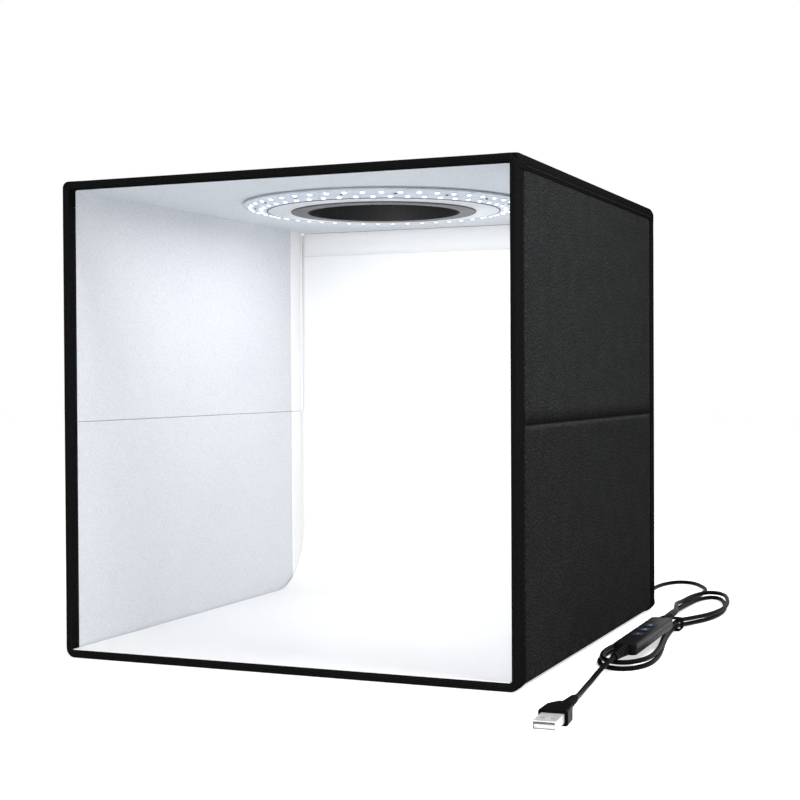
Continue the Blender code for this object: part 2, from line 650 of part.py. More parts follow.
def hank_point(turn):
    """A point of the hank: it spirals in on the lower layer and out again on the upper one."""
    angle = HANK_START_ANGLE - 2 * math.pi * turn
    angle += HANK_POINT_SPREAD * math.sin(2 * angle)
    step = math.radians(0.5)
    ahead, behind = hank_contour(angle + step), hank_contour(angle - step)
    along = (ahead - behind).normalized()
    outward = Vector((-along.y, along.x, 0.0))
    centre = Vector((HANK_WAIST_X, HANK_MIDDLE_Y, 0.0))
    place = hank_contour(angle)
    side = Vector((place.x - centre.x, 0.0, 0.0)) if abs(math.sin(angle)) > 0.5 else place - centre
    if outward.dot(side) < 0:
        outward = -outward
    middle_turn = HANK_TURNS / 2
    place = place + outward * HANK_STEP * abs(turn - middle_turn)
    share = min(max((turn - middle_turn) / HANK_CLIMB_TURNS + 0.5, 0.0), 1.0)
    rise = HANK_LAYER_RISE * share * share * (3 - 2 * share)
    lift = HANK_WAIST_LIFT * math.exp(-((place.y - HANK_MIDDLE_Y) / HANK_LIFT_LENGTH) ** 4)
    place.z = CORD_RADIUS + rise + lift
    return place


def least_gap(points, diameter):
    """Least clear distance of a cord to itself, measured on points along it."""
    dense = []
    for p, q in zip(points, points[1:]):
        dense += [p.lerp(q, i / 4) for i in range(4)]
    table = np.array([tuple(p) for p in dense])
    along = np.cumsum([0.0] + [np.linalg.norm(b - a) for a, b in zip(table, table[1:])])
    apart = np.linalg.norm(table[:, None] - table[None], axis=2)
    apart[np.abs(along[:, None] - along[None]) < 6 * diameter] = np.inf
    return apart.min() - diameter


def dimmer_frame():
    """The dimmer's own frame: +Y along it towards the hank's far end, +Z out of its face."""
    frame = bpy.data.objects.new("dimmer_axis", None)
    PARTS.objects.link(frame)
    frame.location = DIMMER_CENTRE
    frame.rotation_euler = (DIMMER_TILT, 0.0, 0.0)
    matrix = Matrix.Translation(DIMMER_CENTRE) @ Matrix.Rotation(DIMMER_TILT, 4, "X")
    return frame, matrix


def rib_profile(length, base_radius, tip_radius, ribs, groove):
    """Profile of a tapered, ribbed sleeve from its base at height 0 to its tip."""
    profile = [(0.0, 0.0)]
    pitch = length / (2 * ribs + 1)
    for i in range(2 * ribs + 2):
        share = i / (2 * ribs + 1)
        radius = base_radius + (tip_radius - base_radius) * share
        if i % 2 and i < 2 * ribs + 1:
            radius -= groove
        profile.append((radius, i * pitch))
    profile.append((0.0, length))
    return profile


def solid_turned(name, profile, material, parent, location, rotation, collection=PARTS):
    """A solid of revolution whose profile starts and ends on the axis."""
    bm = bmesh.new()
    verts = [bm.verts.new((radius, 0.0, height)) for radius, height in reversed(profile)]
    for first, second in zip(verts, verts[1:]):
        bm.edges.new((first, second))
    mesh = bpy.data.meshes.new(name)
    bm.to_mesh(mesh)
    bm.free()
    obj = add_object(name, mesh, material, collection, parent)
    obj.location = location
    obj.rotation_euler = rotation
    screw = obj.modifiers.new("turn", "SCREW")
    screw.axis = "Z"
    screw.steps = screw.render_steps = TURNED_STEPS
    screw.use_merge_vertices = True
    screw.merge_threshold = MERGE_DISTANCE
    return obj


def dimmer():
    """Two shells, a circuit board, three buttons and two ribbed boots."""
    frame, matrix = dimmer_frame()
    half_l, half_w, half_h = DIMMER_LENGTH / 2, DIMMER_WIDTH / 2, DIMMER_HEIGHT / 2
    seam = GAP / 2
    inner_l, inner_w = half_l - DIMMER_WALL, half_w - DIMMER_WALL
    for side, name in ((-1, "dimmer_lower_shell"), (1, "dimmer_upper_shell")):
        zs = sorted((side * seam, side * half_h))
        shell = slab(name, (-half_w, -half_l, zs[0]), (half_w, half_l, zs[1]), "dimmer",
                     parent=frame, corner_axis=2, corner=DIMMER_CORNER, rim_axis=2,
                     rim_side=side, rim=DIMMER_EDGE)
        zs = sorted((-side * OVERRUN, side * (half_h - DIMMER_WALL)))
        cut(shell, slab(name + "_cavity", (-inner_w, -inner_l, zs[0]), (inner_w, inner_l, zs[1]),
                        collection=CUTTERS, parent=frame))
        if side > 0:
            for i in (-1, 0, 1):
                grow = GAP
                y = i * BUTTON_PITCH
                cut(shell, slab(f"button_hole_{i + 2}",
                                (-BUTTON_WIDTH / 2 - grow, y - BUTTON_LENGTH / 2 - grow, 0.0),
                                (BUTTON_WIDTH / 2 + grow, y + BUTTON_LENGTH / 2 + grow,
                                 half_h + OVERRUN),
                                collection=CUTTERS, parent=frame, corner_axis=2,
                                corner=BUTTON_CORNER))
    board_w = inner_w - GAP
    board_top = -GAP
    slab("dimmer_board", (-board_w, -DIMMER_BOARD_LENGTH / 2, board_top - DIMMER_BOARD_THICKNESS),
         (board_w, DIMMER_BOARD_LENGTH / 2, board_top), "circuit", parent=frame)
    top = half_h + BUTTON_PROUD
    for i, name in ((-1, "button_minus"), (0, "button_power"), (1, "button_plus")):
        y = i * BUTTON_PITCH
        slab(name, (-BUTTON_WIDTH / 2, y - BUTTON_LENGTH / 2, top - BUTTON_DEPTH),
             (BUTTON_WIDTH / 2, y + BUTTON_LENGTH / 2, top), "button", parent=frame,
             corner_axis=2, corner=BUTTON_CORNER)
    profile = rib_profile(BOOT_LENGTH, BOOT_BASE_RADIUS, BOOT_TIP_RADIUS, BOOT_RIBS,
                          BOOT_GROOVE_DEPTH)
    for side, name in ((1, "dimmer_far_boot"), (-1, "dimmer_near_boot")):
        solid_turned(name, profile, "cord", frame, (0.0, side * (half_l + GAP), 0.0),
                     (-side * math.pi / 2, 0.0, 0.0))
    reach = half_l + GAP + BOOT_LENGTH + GAP
    far, near = matrix @ Vector((0.0, reach, 0.0)), matrix @ Vector((0.0, -reach, 0.0))
    return far, near, (matrix.to_3x3() @ Vector((0.0, 1.0, 0.0)))


def cords(far_boot, near_boot, dimmer_axis):
    """The lead: down behind the tent, along the floor, through the hank and on to the plug."""
    down = Vector((0.0, 0.0, -1.0))
    drop_top = Vector((DROP_X, DROP_Y, DROP_TOP))
    drop_foot = Vector((DROP_X, DROP_Y, DROP_FOOT_HEIGHT))
    tube("cord_drop", [drop_top, (drop_top + drop_foot) / 2, drop_foot], "cord")

    # Hank, with its run up to the dimmer's far boot
    count = int((HANK_TURNS - HANK_START_TURN) * HANK_POINTS_PER_TURN)
    hank = [hank_point(HANK_START_TURN + i / HANK_POINTS_PER_TURN) for i in range(count)]
    rise_route = [
        hank[-2], hank[-1],
        (0.1688, 0.1500, 0.0070), (0.1718, 0.1330, 0.0083), (0.1758, 0.1140, 0.0096),
        (0.1796, 0.0980, 0.0106), (0.1826, 0.0840, 0.0114), (0.1842, 0.0730, 0.0118),
        far_boot + dimmer_axis * CORD_DIAMETER,
    ]
    rise = smooth_route(rise_route)
    skip = (hank[-1] - hank[-2]).length
    travelled, lead = 0.0, []
    for p, q in zip(rise, rise[1:]):
        travelled += (q - p).length
        if travelled > skip + CORD_POINT_STEP / 2:
            lead.append(q)
    start_way = (hank[1] - hank[0]).normalized()
    first = hank[0] - start_way * CORD_DIAMETER
    whole = [first] + hank + lead + [far_boot]
    tube("cord_hank", whole, "cord", HANK_SIDES_RESOLUTION)
    print("cord_hank least gap to itself, mm:", round(least_gap(whole, CORD_DIAMETER) * 1000, 3))

    # Run on the floor from the foot of the drop to the hank
    foot = drop_foot + down * GAP
    meet = first - start_way * GAP
    run_route = [
        foot, foot + down * CORD_DIAMETER,
        (0.1464, 0.1642, 0.0088), (0.1460, 0.1698, 0.0036), (0.1449, 0.1778, 0.0016),
        (0.1395, 0.1990, 0.0015), (0.1320, 0.2240, 0.0015), (0.1264, 0.2490, 0.0015),
        (0.1256, 0.2710, 0.0015), (0.1296, 0.2930, 0.0015), (0.1385, 0.3050, 0.0015),
        (0.1490, 0.3010, 0.0015), (0.1590, 0.2850, 0.0015), (0.1668, 0.2640, 0.0015),
        meet - start_way * CORD_DIAMETER * 4, meet - start_way * CORD_DIAMETER, meet,
    ]
    run = straight_ends(smooth_route(run_route), down, start_way)
    tube("cord_run", run, "cord")

    # Tail from the dimmer's near boot to the plug
    plug_way = Matrix.Rotation(PLUG_TURN, 3, "Z") @ Vector((0.0, 1.0, 0.0))
    end = PLUG_START - plug_way * GAP
    back_way = -dimmer_axis
    tail_route = [
        near_boot, near_boot + back_way * CORD_DIAMETER,
        (0.1834, -0.1045, 0.0086), (0.1814, -0.1165, 0.0052), (0.1806, -0.1295, 0.0023),
        (0.1812, -0.1430, 0.0015), (0.1828, -0.1570, 0.0015), (0.1848, -0.1700, 0.0023),
        end - plug_way * CORD_DIAMETER, end,
    ]
    tube("cord_tail", straight_ends(smooth_route(tail_route), back_way, plug_way), "cord")
    for name, points in (("cord_run", run), ("cord_hank", whole)):
        length = sum((q - p).length for p, q in zip(points, points[1:]))
        print(name, "length, m:", round(length, 3))


def hank_tie():
    """A flat band round all the strands at the hank's waist."""
    half = HANK_WAIST_HALF_WIDTH + HANK_STEP * HANK_TURNS / 2 + CORD_RADIUS + GAP
    top = CORD_DIAMETER + HANK_LAYER_RISE + HANK_WAIST_LIFT + GAP
    thick = TIE_THICKNESS
    ys = (HANK_MIDDLE_Y - TIE_WIDTH / 2, HANK_MIDDLE_Y + TIE_WIDTH / 2)
    floor_clear = GAP / 3
    band = slab("cord_tie", (HANK_WAIST_X - half - thick, ys[0], floor_clear),
                (HANK_WAIST_X + half + thick, ys[1], top + thick), "cord",
                corner_axis=1, corner=CORD_RADIUS)
    cut(band, slab("cord_tie_bore", (HANK_WAIST_X - half, ys[0] - OVERRUN, floor_clear + thick),
                   (HANK_WAIST_X + half, ys[1] + OVERRUN, top), collection=CUTTERS,
                   corner_axis=1, corner=CORD_RADIUS - thick))


def plug():
    """Ribbed neck, moulded body, metal shell and the tongue inside it; +Y runs to the tip."""
    frame = bpy.data.objects.new("plug_axis", None)
    PARTS.objects.link(frame)
    frame.location = PLUG_START
    frame.rotation_euler = (0.0, 0.0, PLUG_TURN)
    neck = rib_profile(PLUG_NECK_LENGTH, PLUG_NECK_TIP_RADIUS, PLUG_NECK_BASE_RADIUS,
                       PLUG_NECK_RIBS, BOOT_GROOVE_DEPTH)
    sleeve = solid_turned("plug_neck", neck, None, frame, (0.0, 0.0, 0.0),
                          (-math.pi / 2, 0.0, 0.0), CUTTERS)
    body_start = PLUG_NECK_LENGTH - GAP
    body_end = PLUG_NECK_LENGTH + PLUG_BODY_LENGTH
    bm = bmesh.new()
    bmesh.ops.create_cube(bm, size=1.0)
    size = Vector((PLUG_BODY_WIDTH, body_end - body_start, PLUG_BODY_HEIGHT))
    for vert in bm.verts:
        vert.co = Vector((vert.co.x * size.x, (vert.co.y + 0.5) * size.y + body_start,
                          vert.co.z * size.z))
    long_edges = [e for e in bm.edges
                  if abs((e.verts[0].co - e.verts[1].co).normalized().y) > 0.99]
    cuts = bmesh.ops.subdivide_edges(bm, edges=long_edges, cuts=1)
    for item in cuts["geom_inner"]:
        if isinstance(item, bmesh.types.BMVert):
            item.co.y = body_start + PLUG_BODY_SHOULDER
    for vert in bm.verts:
        if abs(vert.co.y - body_start) < GAP:
            vert.co.x = math.copysign(PLUG_SHOULDER_WIDTH / 2, vert.co.x)
            vert.co.z = math.copysign(PLUG_SHOULDER_HEIGHT / 2, vert.co.z)
    long_edges = [e for e in bm.edges if abs(e.verts[0].co.y - e.verts[1].co.y) > GAP]
    bmesh.ops.bevel(bm, geom=long_edges, offset=PLUG_BODY_EDGE, segments=2, profile=0.5,
                    affect="EDGES")
    bmesh.ops.recalc_face_normals(bm, faces=bm.faces)
    mesh = bpy.data.meshes.new("plug_overmold")
    bm.to_mesh(mesh)
    bm.free()
    overmold = add_object("plug_overmold", mesh, "cord", PARTS, frame)
    join = overmold.modifiers.new("neck", "BOOLEAN")
    join.operation = "UNION"
    join.solver = "EXACT"
    join.object = sleeve
    shell_start = body_end + GAP
    shell_end = shell_start + SHELL_LENGTH
    sw, sh = SHELL_WIDTH / 2, SHELL_HEIGHT / 2
    shell = slab("plug_shell", (-sw, shell_start, -sh), (sw, shell_end, sh), "plug_metal",
                 parent=frame)
    cut(shell, slab("plug_shell_bore",
                    (-sw + SHELL_WALL, shell_start - OVERRUN, -sh + SHELL_WALL),
                    (sw - SHELL_WALL, shell_end + OVERRUN, sh - SHELL_WALL),
                    collection=CUTTERS, parent=frame))
    for side in (-1, 1):
        x, y = side * SHELL_HOLE_SPACING / 2, shell_start + SHELL_HOLE_FROM_BODY
        cut(shell, slab(f"plug_shell_hole_{side + 2}",
                        (x - SHELL_HOLE / 2, y - SHELL_HOLE / 2, -sh - OVERRUN),
                        (x + SHELL_HOLE / 2, y + SHELL_HOLE / 2, sh + OVERRUN),
                        collection=CUTTERS, parent=frame))
    slab("plug_tongue", (-sw + SHELL_WALL + GAP, shell_start, -sh + SHELL_WALL + GAP),
         (sw - SHELL_WALL - GAP, shell_end - TONGUE_SHORT_OF_MOUTH,
          -sh + SHELL_WALL + GAP + TONGUE_THICKNESS), "tongue", parent=frame)


floor_and_spines()
side_panels()
roof_panel()
back_panel()
backdrop_sheet()
ring_light()
inner_lead()
exit_block()
window_flap()
boot_far, boot_near, lead_axis = dimmer()
cords(boot_far, boot_near, lead_axis)
hank_tie()
plug()
bpy.context.view_layer.update()
print("node count:", sum(o.type != "EMPTY" for o in PARTS.objects))
print("side hinge z", SIDE_HINGE_Z, "crease z", CREASE_Z, "roof hinge z", ROOF_HINGE_Z)
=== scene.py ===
import math

import bmesh
import bpy
import numpy as np
from mathutils import Matrix, Vector, noise


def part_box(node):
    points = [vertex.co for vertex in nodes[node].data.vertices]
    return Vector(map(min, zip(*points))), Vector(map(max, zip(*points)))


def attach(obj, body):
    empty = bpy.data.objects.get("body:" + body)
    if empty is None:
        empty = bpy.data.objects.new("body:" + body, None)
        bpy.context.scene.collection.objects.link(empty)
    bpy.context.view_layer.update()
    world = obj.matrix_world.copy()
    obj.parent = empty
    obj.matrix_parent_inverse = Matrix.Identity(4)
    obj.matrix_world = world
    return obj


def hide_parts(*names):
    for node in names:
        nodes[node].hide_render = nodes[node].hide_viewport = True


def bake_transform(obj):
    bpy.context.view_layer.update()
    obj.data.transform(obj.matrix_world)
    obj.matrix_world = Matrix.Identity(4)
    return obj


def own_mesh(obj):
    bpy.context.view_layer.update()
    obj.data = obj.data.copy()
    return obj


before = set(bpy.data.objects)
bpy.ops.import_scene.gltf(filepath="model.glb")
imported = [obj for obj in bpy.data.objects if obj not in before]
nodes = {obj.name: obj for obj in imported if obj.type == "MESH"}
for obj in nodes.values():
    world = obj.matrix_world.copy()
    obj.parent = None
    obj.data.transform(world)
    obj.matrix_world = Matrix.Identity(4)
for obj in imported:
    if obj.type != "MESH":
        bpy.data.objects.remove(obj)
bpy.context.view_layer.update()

# The tent's main levels, in metres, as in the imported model
HALF, INNER, THICK = 0.150, 0.1452, 0.0048
FRONT, DEPTH = -0.16565, 0.324
REAR = FRONT + DEPTH
LIGHT_Y = FRONT + DEPTH / 2
TOP, ROOF_UNDER = 0.299, 0.2942
CREASE, ROOF_HINGE = 0.14805, 0.2832
BACK, BACK_HALF, BACK_HINGE, BACK_TOP = 0.16085, 0.143, 0.0076, 0.2934
HOOK_LOW = 0.2726
FRAME_RADIUS = 0.006
# The window's radius, the light board's two edges, and its drop from the roof and over its slope
WINDOW = 0.0534
RING_INNER, RING_OUTER, RING_DROP, RING_SLOPE = 0.0799, 0.0957, 0.0012, 0.0038
# The binding tape's thickness, its legs over an edge, and the radius of its bend
TAPE, OUTER_LEG, INNER_LEG, TAPE_BEND = 0.0005, 0.012, 0.008, 0.0016
# How far the cloths' faces and undersides lie from the panels' faces, and how far they swell
CLOTH_LEVEL, CLOTH_UNDER, SWELL = -0.0007, -0.0015, 0.00075
LINING_LEVEL, LINING_UNDER = -0.00045, -0.0013
CLOTH_INSET, LINING_INSET = 0.0106, 0.0074
THREAD_WIDTH = 0.00045
CORD_D, GAP = 0.003, 0.0003
CORD_R = CORD_D / 2
DROP_TOP, DROP_FOOT = Vector((0.1465, 0.16205, 0.2877)), Vector((0.1465, 0.16205, 0.0200))
HANK_X, HANK_Y = 0.181, 0.0714
LEAD_TILT, PLUG_TURN = math.radians(0.6), math.radians(183.2)
PLUG_START = Vector((0.1873, -0.1868, 0.0042))
X, Y, Z = Vector((1, 0, 0)), Vector((0, 1, 0)), Vector((0, 0, 1))
NONE, ALL = (0, 0, 0, 0), (1, 1, 1, 1)
# Grid lines that a side's cloths and tapes need where they bend
NEAR_HINGES = [*np.arange(0.006, 0.021, 0.0015), *np.arange(0.276, 0.290, 0.0015)]
NEAR_CREASE = [*(CREASE + np.arange(-0.0060, 0.0064, 0.0004))]
SIDES = ((-1, "left"), (1, "right"))
SIDE_HALVES = [(side, word, half) for side, word in SIDES for half in ("lower", "upper")]


def in_scene(name, data):
    obj = bpy.data.objects.new(name, data)
    bpy.context.scene.collection.objects.link(obj)
    return obj


# Camera at the photograph's viewing angle, fitted to the frame's corners in it
def make_camera():
    yaw, pitch, roll = math.radians(22.79), -0.01482, -0.00534
    forward = Vector((-math.sin(yaw) * math.cos(pitch), math.cos(yaw) * math.cos(pitch),
                      math.sin(pitch)))
    level = Vector((math.cos(yaw), math.sin(yaw), 0.0))
    upright = level.cross(forward)
    right = level * math.cos(roll) + upright * math.sin(roll)
    up = upright * math.cos(roll) - level * math.sin(roll)
    data = bpy.data.cameras.new("camera")
    data.lens, data.sensor_width, data.sensor_fit = 67.86, 36.0, "HORIZONTAL"
    data.clip_start, data.clip_end = 0.05, 50.0
    camera = in_scene("camera", data)
    rotation = Matrix((right, up, -forward)).transposed().to_4x4()
    camera.matrix_world = Matrix.Translation((0.41193, -0.95713, 0.17506)) @ rotation
    bpy.context.scene.camera = camera


make_camera()


# Materials
def add_node(tree, kind, inputs=None, **properties):
    """A new node, with its properties set and its sockets linked or given values."""
    made = tree.nodes.new("ShaderNode" + kind)
    for key, value in properties.items():
        setattr(made, key, value)
    for key, value in (inputs or {}).items():
        feed(tree, made.inputs[key], value)
    return made


def feed(tree, socket, value):
    if isinstance(value, bpy.types.NodeSocket):
        tree.links.new(value, socket)
    elif socket.type == "RGBA":
        socket.default_value = (*value, 1.0)
    else:
        socket.default_value = value


class Nodes:
    """A material's node tree, with short calls for the nodes that the finishes share."""

    def __init__(self, name, colour, roughness, metallic=0.0, textured=True, **sockets):
        self.material = bpy.data.materials.new(name)
        self.material.use_nodes = True
        self.tree = self.material.node_tree
        self.shader = self.tree.nodes["Principled BSDF"]
        self.set("Base Color", colour)
        self.set("Roughness", roughness)
        self.set("Metallic", metallic)
        for key, value in sockets.items():
            self.set(key.replace("_", " "), value)
        if textured:
            self.source = self.node("TexCoord").outputs
            self.place = self.source["Object"]

    def set(self, socket, value):
        feed(self.tree, self.shader.inputs[socket], value)

    def node(self, kind, inputs=None, **properties):
        return add_node(self.tree, kind, inputs, **properties)

    def noise(self, scale, detail=3.0, roughness=0.55, at=None):
        at = self.place if at is None else at
        return self.node("TexNoise", {"Vector": at, "Scale": scale, "Detail": detail,
                                      "Roughness": roughness}).outputs["Fac"]

    def wave(self, scale, direction, distortion, detail, detail_scale):
        return self.node("TexWave", {"Vector": self.source["UV"], "Scale": scale,
                                     "Distortion": distortion, "Detail": detail,
                                     "Detail Scale": detail_scale},
                         wave_type="BANDS", bands_direction=direction).outputs["Fac"]

    def ramp(self, value, *stops):
        node = self.node("ValToRGB", {"Fac": value})
        elements = node.color_ramp.elements
        while len(elements) < len(stops):
            elements.new(0.5)
        for element, (position, colour) in zip(elements, stops):
            element.position = position
            element.color = (*(colour if hasattr(colour, "__len__") else (colour,) * 3), 1.0)
        return node.outputs["Color"]

    def math(self, operation, *values):
        return self.node("Math", dict(enumerate(values)), operation=operation).outputs["Value"]

    def mix(self, factor, first, second, mode="MIX"):
        return self.node("Mix", {0: factor, 6: first, 7: second}, data_type="RGBA",
                         blend_type=mode).outputs[2]

    def multiply(self, first, second):
        return self.mix(1.0, first, second, "MULTIPLY")

    def split(self, vector):
        return self.node("SeparateXYZ", {"Vector": vector}).outputs

    def window_radius(self):
        """Distance from the round window's axis."""
        parts = self.split(self.node("VectorMath", {0: self.place, 1: (0.0, LIGHT_Y, 0.0)},
                                     operation="SUBTRACT").outputs["Vector"])
        squares = [self.math("POWER", parts[axis], 2.0) for axis in "XY"]
        return self.math("SQRT", self.math("ADD", *squares))

    def colour(self, value, *stops):
        self.set("Base Color", self.ramp(value, *stops))

    def rough(self, value, *stops):
        self.set("Roughness", self.ramp(value, *stops))

    def bump(self, height, distance, strength, under=None):
        inputs = {"Distance": distance, "Strength": strength, "Height": height}
        if under is not None:
            inputs["Normal"] = under
        normal = self.node("Bump", inputs).outputs["Normal"]
        self.set("Normal", normal)
        return normal


def grey(level):
    return (level, level, level)


def outer_cloth_finish(name, fold=None):
    """Charcoal non-woven cloth: a fine plain weave under short fibres, in slightly uneven dye.
    fold gives painted shade and a painted highlight near the crease, as tone factors at distances
    above it (negative below it)."""
    n = Nodes(name, (0.0170, 0.0176, 0.0180), 0.92, Specular_IOR_Level=0.0,
              Sheen_Weight=0.01, Sheen_Roughness=0.6)
    weave = n.math("MULTIPLY", *[n.wave(330.0, way, 1.2, 2.0, 3.0) for way in "XY"])
    speckle = n.noise(900.0, 2.0, 0.6)
    dye = n.ramp(speckle, (0.34, (0.0080, 0.0086, 0.0089)), (0.52, (0.0148, 0.0156, 0.0160)),
                 (0.66, (0.0400, 0.0412, 0.0424)))
    dye_and_crease_shade = n.multiply(dye, n.ramp(n.noise(60.0), (0.3, 0.88), (0.7, 1.10)))
    # Painted shade and a painted highlight near the crease, multiplied into the dye
    if fold:
        reach = 0.024
        above = n.math("SUBTRACT", n.split(n.source["UV"])["Y"], CREASE)
        span = n.math("ADD", n.math("MULTIPLY", above, 1 / reach), 0.5)
        dye_and_crease_shade = n.multiply(dye_and_crease_shade, n.ramp(span, *[(d / reach + 0.5, tone) for d, tone in fold]))
    n.set("Base Color", dye_and_crease_shade)
    n.rough(speckle, (0.3, 0.98), (0.7, 0.82))
    first = n.bump(weave, 0.00010, 0.6)
    n.bump(n.noise(760.0, 3.0, 0.6), 0.00016, 0.7, first)
    return n.material


def tape_finish():
    """Black binding tape with fine ribs along it and a row of stitches near its outer edge."""
    n = Nodes("tape_finish", (0.0075, 0.0075, 0.0078), 0.85, Specular_IOR_Level=0.0)
    flat = n.source["UV"]
    ribs = n.wave(310.0, "Y", 0.25, 1.0, 2.0)
    grain = n.noise(700.0, 2.0, at=flat)
    tint = n.ramp(ribs, (0.0, (0.0040, 0.0040, 0.0042)), (1.0, (0.0110, 0.0110, 0.0114)))
    n.set("Base Color", n.multiply(tint, n.ramp(grain, (0.3, 0.75), (0.75, 1.35))))
    parts = n.split(flat)
    across = n.math("ABSOLUTE", n.math("SUBTRACT", parts["Y"], 0.0017))
    beat = n.math("FRACT", n.math("MULTIPLY", parts["X"], 1 / 0.0032))
    stitch = n.math("MULTIPLY", n.math("LESS_THAN", across, 0.0004),
                    n.math("LESS_THAN", beat, 0.72))
    first = n.bump(ribs, 0.00022, 0.9)
    n.bump(grain, 0.00008, 0.5, n.bump(stitch, 0.0002, 0.8, first))
    n.rough(ribs, (0.0, 0.95), (1.0, 0.72))
    return n.material


def lining_finish(name, tint, dark):
    """Pale silver lining with a pebbled emboss: raised islands between fine wandering creases."""
    n = Nodes(name, tint, 0.55, 0.05, Specular_IOR_Level=0.22)
    warp = n.noise(120.0, 2.0)
    spread = n.node("CombineXYZ", {axis: warp for axis in "XYZ"}).outputs["Vector"]
    bent = n.node("VectorMath", {0: spread, 1: (0.0025, 0.0025, 0.0025), 2: n.place},
                  operation="MULTIPLY_ADD").outputs["Vector"]
    islands = n.node("TexVoronoi", {"Vector": bent, "Scale": 820.0, "Smoothness": 0.3},
                     feature="SMOOTH_F1").outputs["Distance"]
    fine = n.noise(1100.0, 3.0, 0.6)
    body = n.ramp(islands, (0.10, tint), (0.42, tint), (0.62, dark))
    flecks = n.ramp(fine, (0.24, tuple(c * 0.90 for c in dark)), (0.34, 1.0))
    cloud = n.ramp(n.noise(22.0, 2.0), (0.3, (0.975, 0.975, 0.98)), (0.7, 1.0))
    n.set("Base Color", n.multiply(n.multiply(body, flecks), cloud))
    n.rough(islands, (0.1, 0.50), (0.6, 0.66))
    first = n.bump(n.ramp(islands, (0.0, 1.0), (0.65, 0.0)), 0.00025, 0.7)
    n.bump(fine, 0.00012, 0.6, first)
    return n.material


def sheet_finish():
    """Smooth matte white plastic sheet with a barely uneven surface."""
    n = Nodes("sheet_finish", grey(0.90), 0.42, Specular_IOR_Level=0.35)
    n.colour(n.noise(9.0, 2.0), (0.3, (0.885, 0.888, 0.893)), (0.7, 0.912))
    n.rough(n.noise(60.0), (0.3, 0.38), (0.7, 0.5))
    n.bump(n.noise(800.0, 2.0), 0.00003, 0.4)
    return n.material


def white_tape_finish():
    """White loop tape: dense short loops in rows."""
    n = Nodes("white_tape_finish", (0.92, 0.92, 0.915), 0.9)
    loops = n.node("TexVoronoi", {"Vector": n.place, "Scale": 1400.0}).outputs["Distance"]
    n.colour(loops, (0.0, (0.94, 0.94, 0.935)), (0.55, (0.92, 0.92, 0.915)),
             (0.9, (0.86, 0.86, 0.855)))
    n.bump(loops, 0.0001, 0.35)
    n.rough(loops, (0.0, 0.85), (0.8, 0.98))
    return n.material


def plastic_finish(name, colour, roughness, grain=900.0, depth=0.00004, **sockets):
    """Moulded plastic or rubber with a fine spark-eroded grain and slightly uneven gloss."""
    n = Nodes(name, colour, roughness, **sockets)
    fine = n.noise(grain, 3.0, 0.6)
    tones = [tuple(min(c * share, 1.0) for c in colour) for share in (0.88, 1.12)]
    n.colour(n.noise(grain / 12, 2.0), (0.3, tones[0]), (0.7, tones[1]))
    n.rough(fine, (0.3, max(roughness - 0.08, 0.05)), (0.7, min(roughness + 0.1, 1.0)))
    n.bump(fine, depth, 0.6)
    return n.material


def metal_finish():
    """Bright nickel plate with faint drawing lines and worn, duller patches."""
    n = Nodes("plug_metal_finish", (0.80, 0.80, 0.79), 0.42, 0.75)
    stretched = n.node("Mapping", {"Vector": n.place, "Scale": (900.0, 90.0, 900.0)})
    drawn = n.noise(1.0, at=stretched.outputs["Vector"])
    n.colour(n.noise(180.0), (0.35, (0.72, 0.72, 0.71)), (0.7, (0.86, 0.86, 0.85)))
    n.rough(drawn, (0.3, 0.36), (0.7, 0.50))
    n.bump(drawn, 0.00002, 0.4)
    return n.material


def light_board_finish():
    """Pale solder mask with copper tracks just showing through it, round the ring's own axis."""
    n = Nodes("light_board_finish", (0.80, 0.85, 0.93), 0.35, Specular_IOR_Level=0.5)
    near = n.math("ABSOLUTE", n.math("SUBTRACT", n.window_radius(), 0.0879))
    track = n.math("LESS_THAN", near, 0.0007)
    speck = n.noise(500.0, 2.0)
    base = n.ramp(speck, (0.3, (0.58, 0.64, 0.75)), (0.7, (0.66, 0.71, 0.81)))
    n.set("Base Color", n.mix(n.math("MULTIPLY", track, 0.35), base, (0.45, 0.49, 0.56)))
    n.bump(track, 0.00005, 0.5)
    n.rough(speck, (0.3, 0.30), (0.7, 0.42))
    return n.material


def flange_finish():
    """Grey moulded window flange; its inner wall is painted near-black, as painted shade inside
    the window.
    """
    n = Nodes("flange_finish", (0.085, 0.086, 0.09), 0.5)
    # Painted shade: the flange is near-black within 52.6 mm of the window's axis
    wall = n.math("LESS_THAN", n.window_radius(), 0.0526)
    face = n.ramp(n.noise(90.0, 2.0), (0.3, (0.078, 0.079, 0.083)), (0.7, (0.094, 0.095, 0.099)))
    n.set("Base Color", n.mix(wall, face, (0.0035, 0.0035, 0.0038)))
    fine = n.noise(1100.0, 3.0, 0.6)
    n.rough(fine, (0.3, 0.44), (0.7, 0.6))
    n.bump(fine, 0.00004, 0.6)
    return n.material


def chip_face_finish():
    """A lit chip's face."""
    colour = (0.95, 0.93, 0.82)
    n = Nodes("chip_face_finish", colour, 0.3, Emission_Color=(0.96, 0.98, 1.0),
              Emission_Strength=1.3)
    n.colour(n.noise(1500.0, 2.0), (0.3, tuple(c * 0.94 for c in colour)), (0.7, colour))
    return n.material


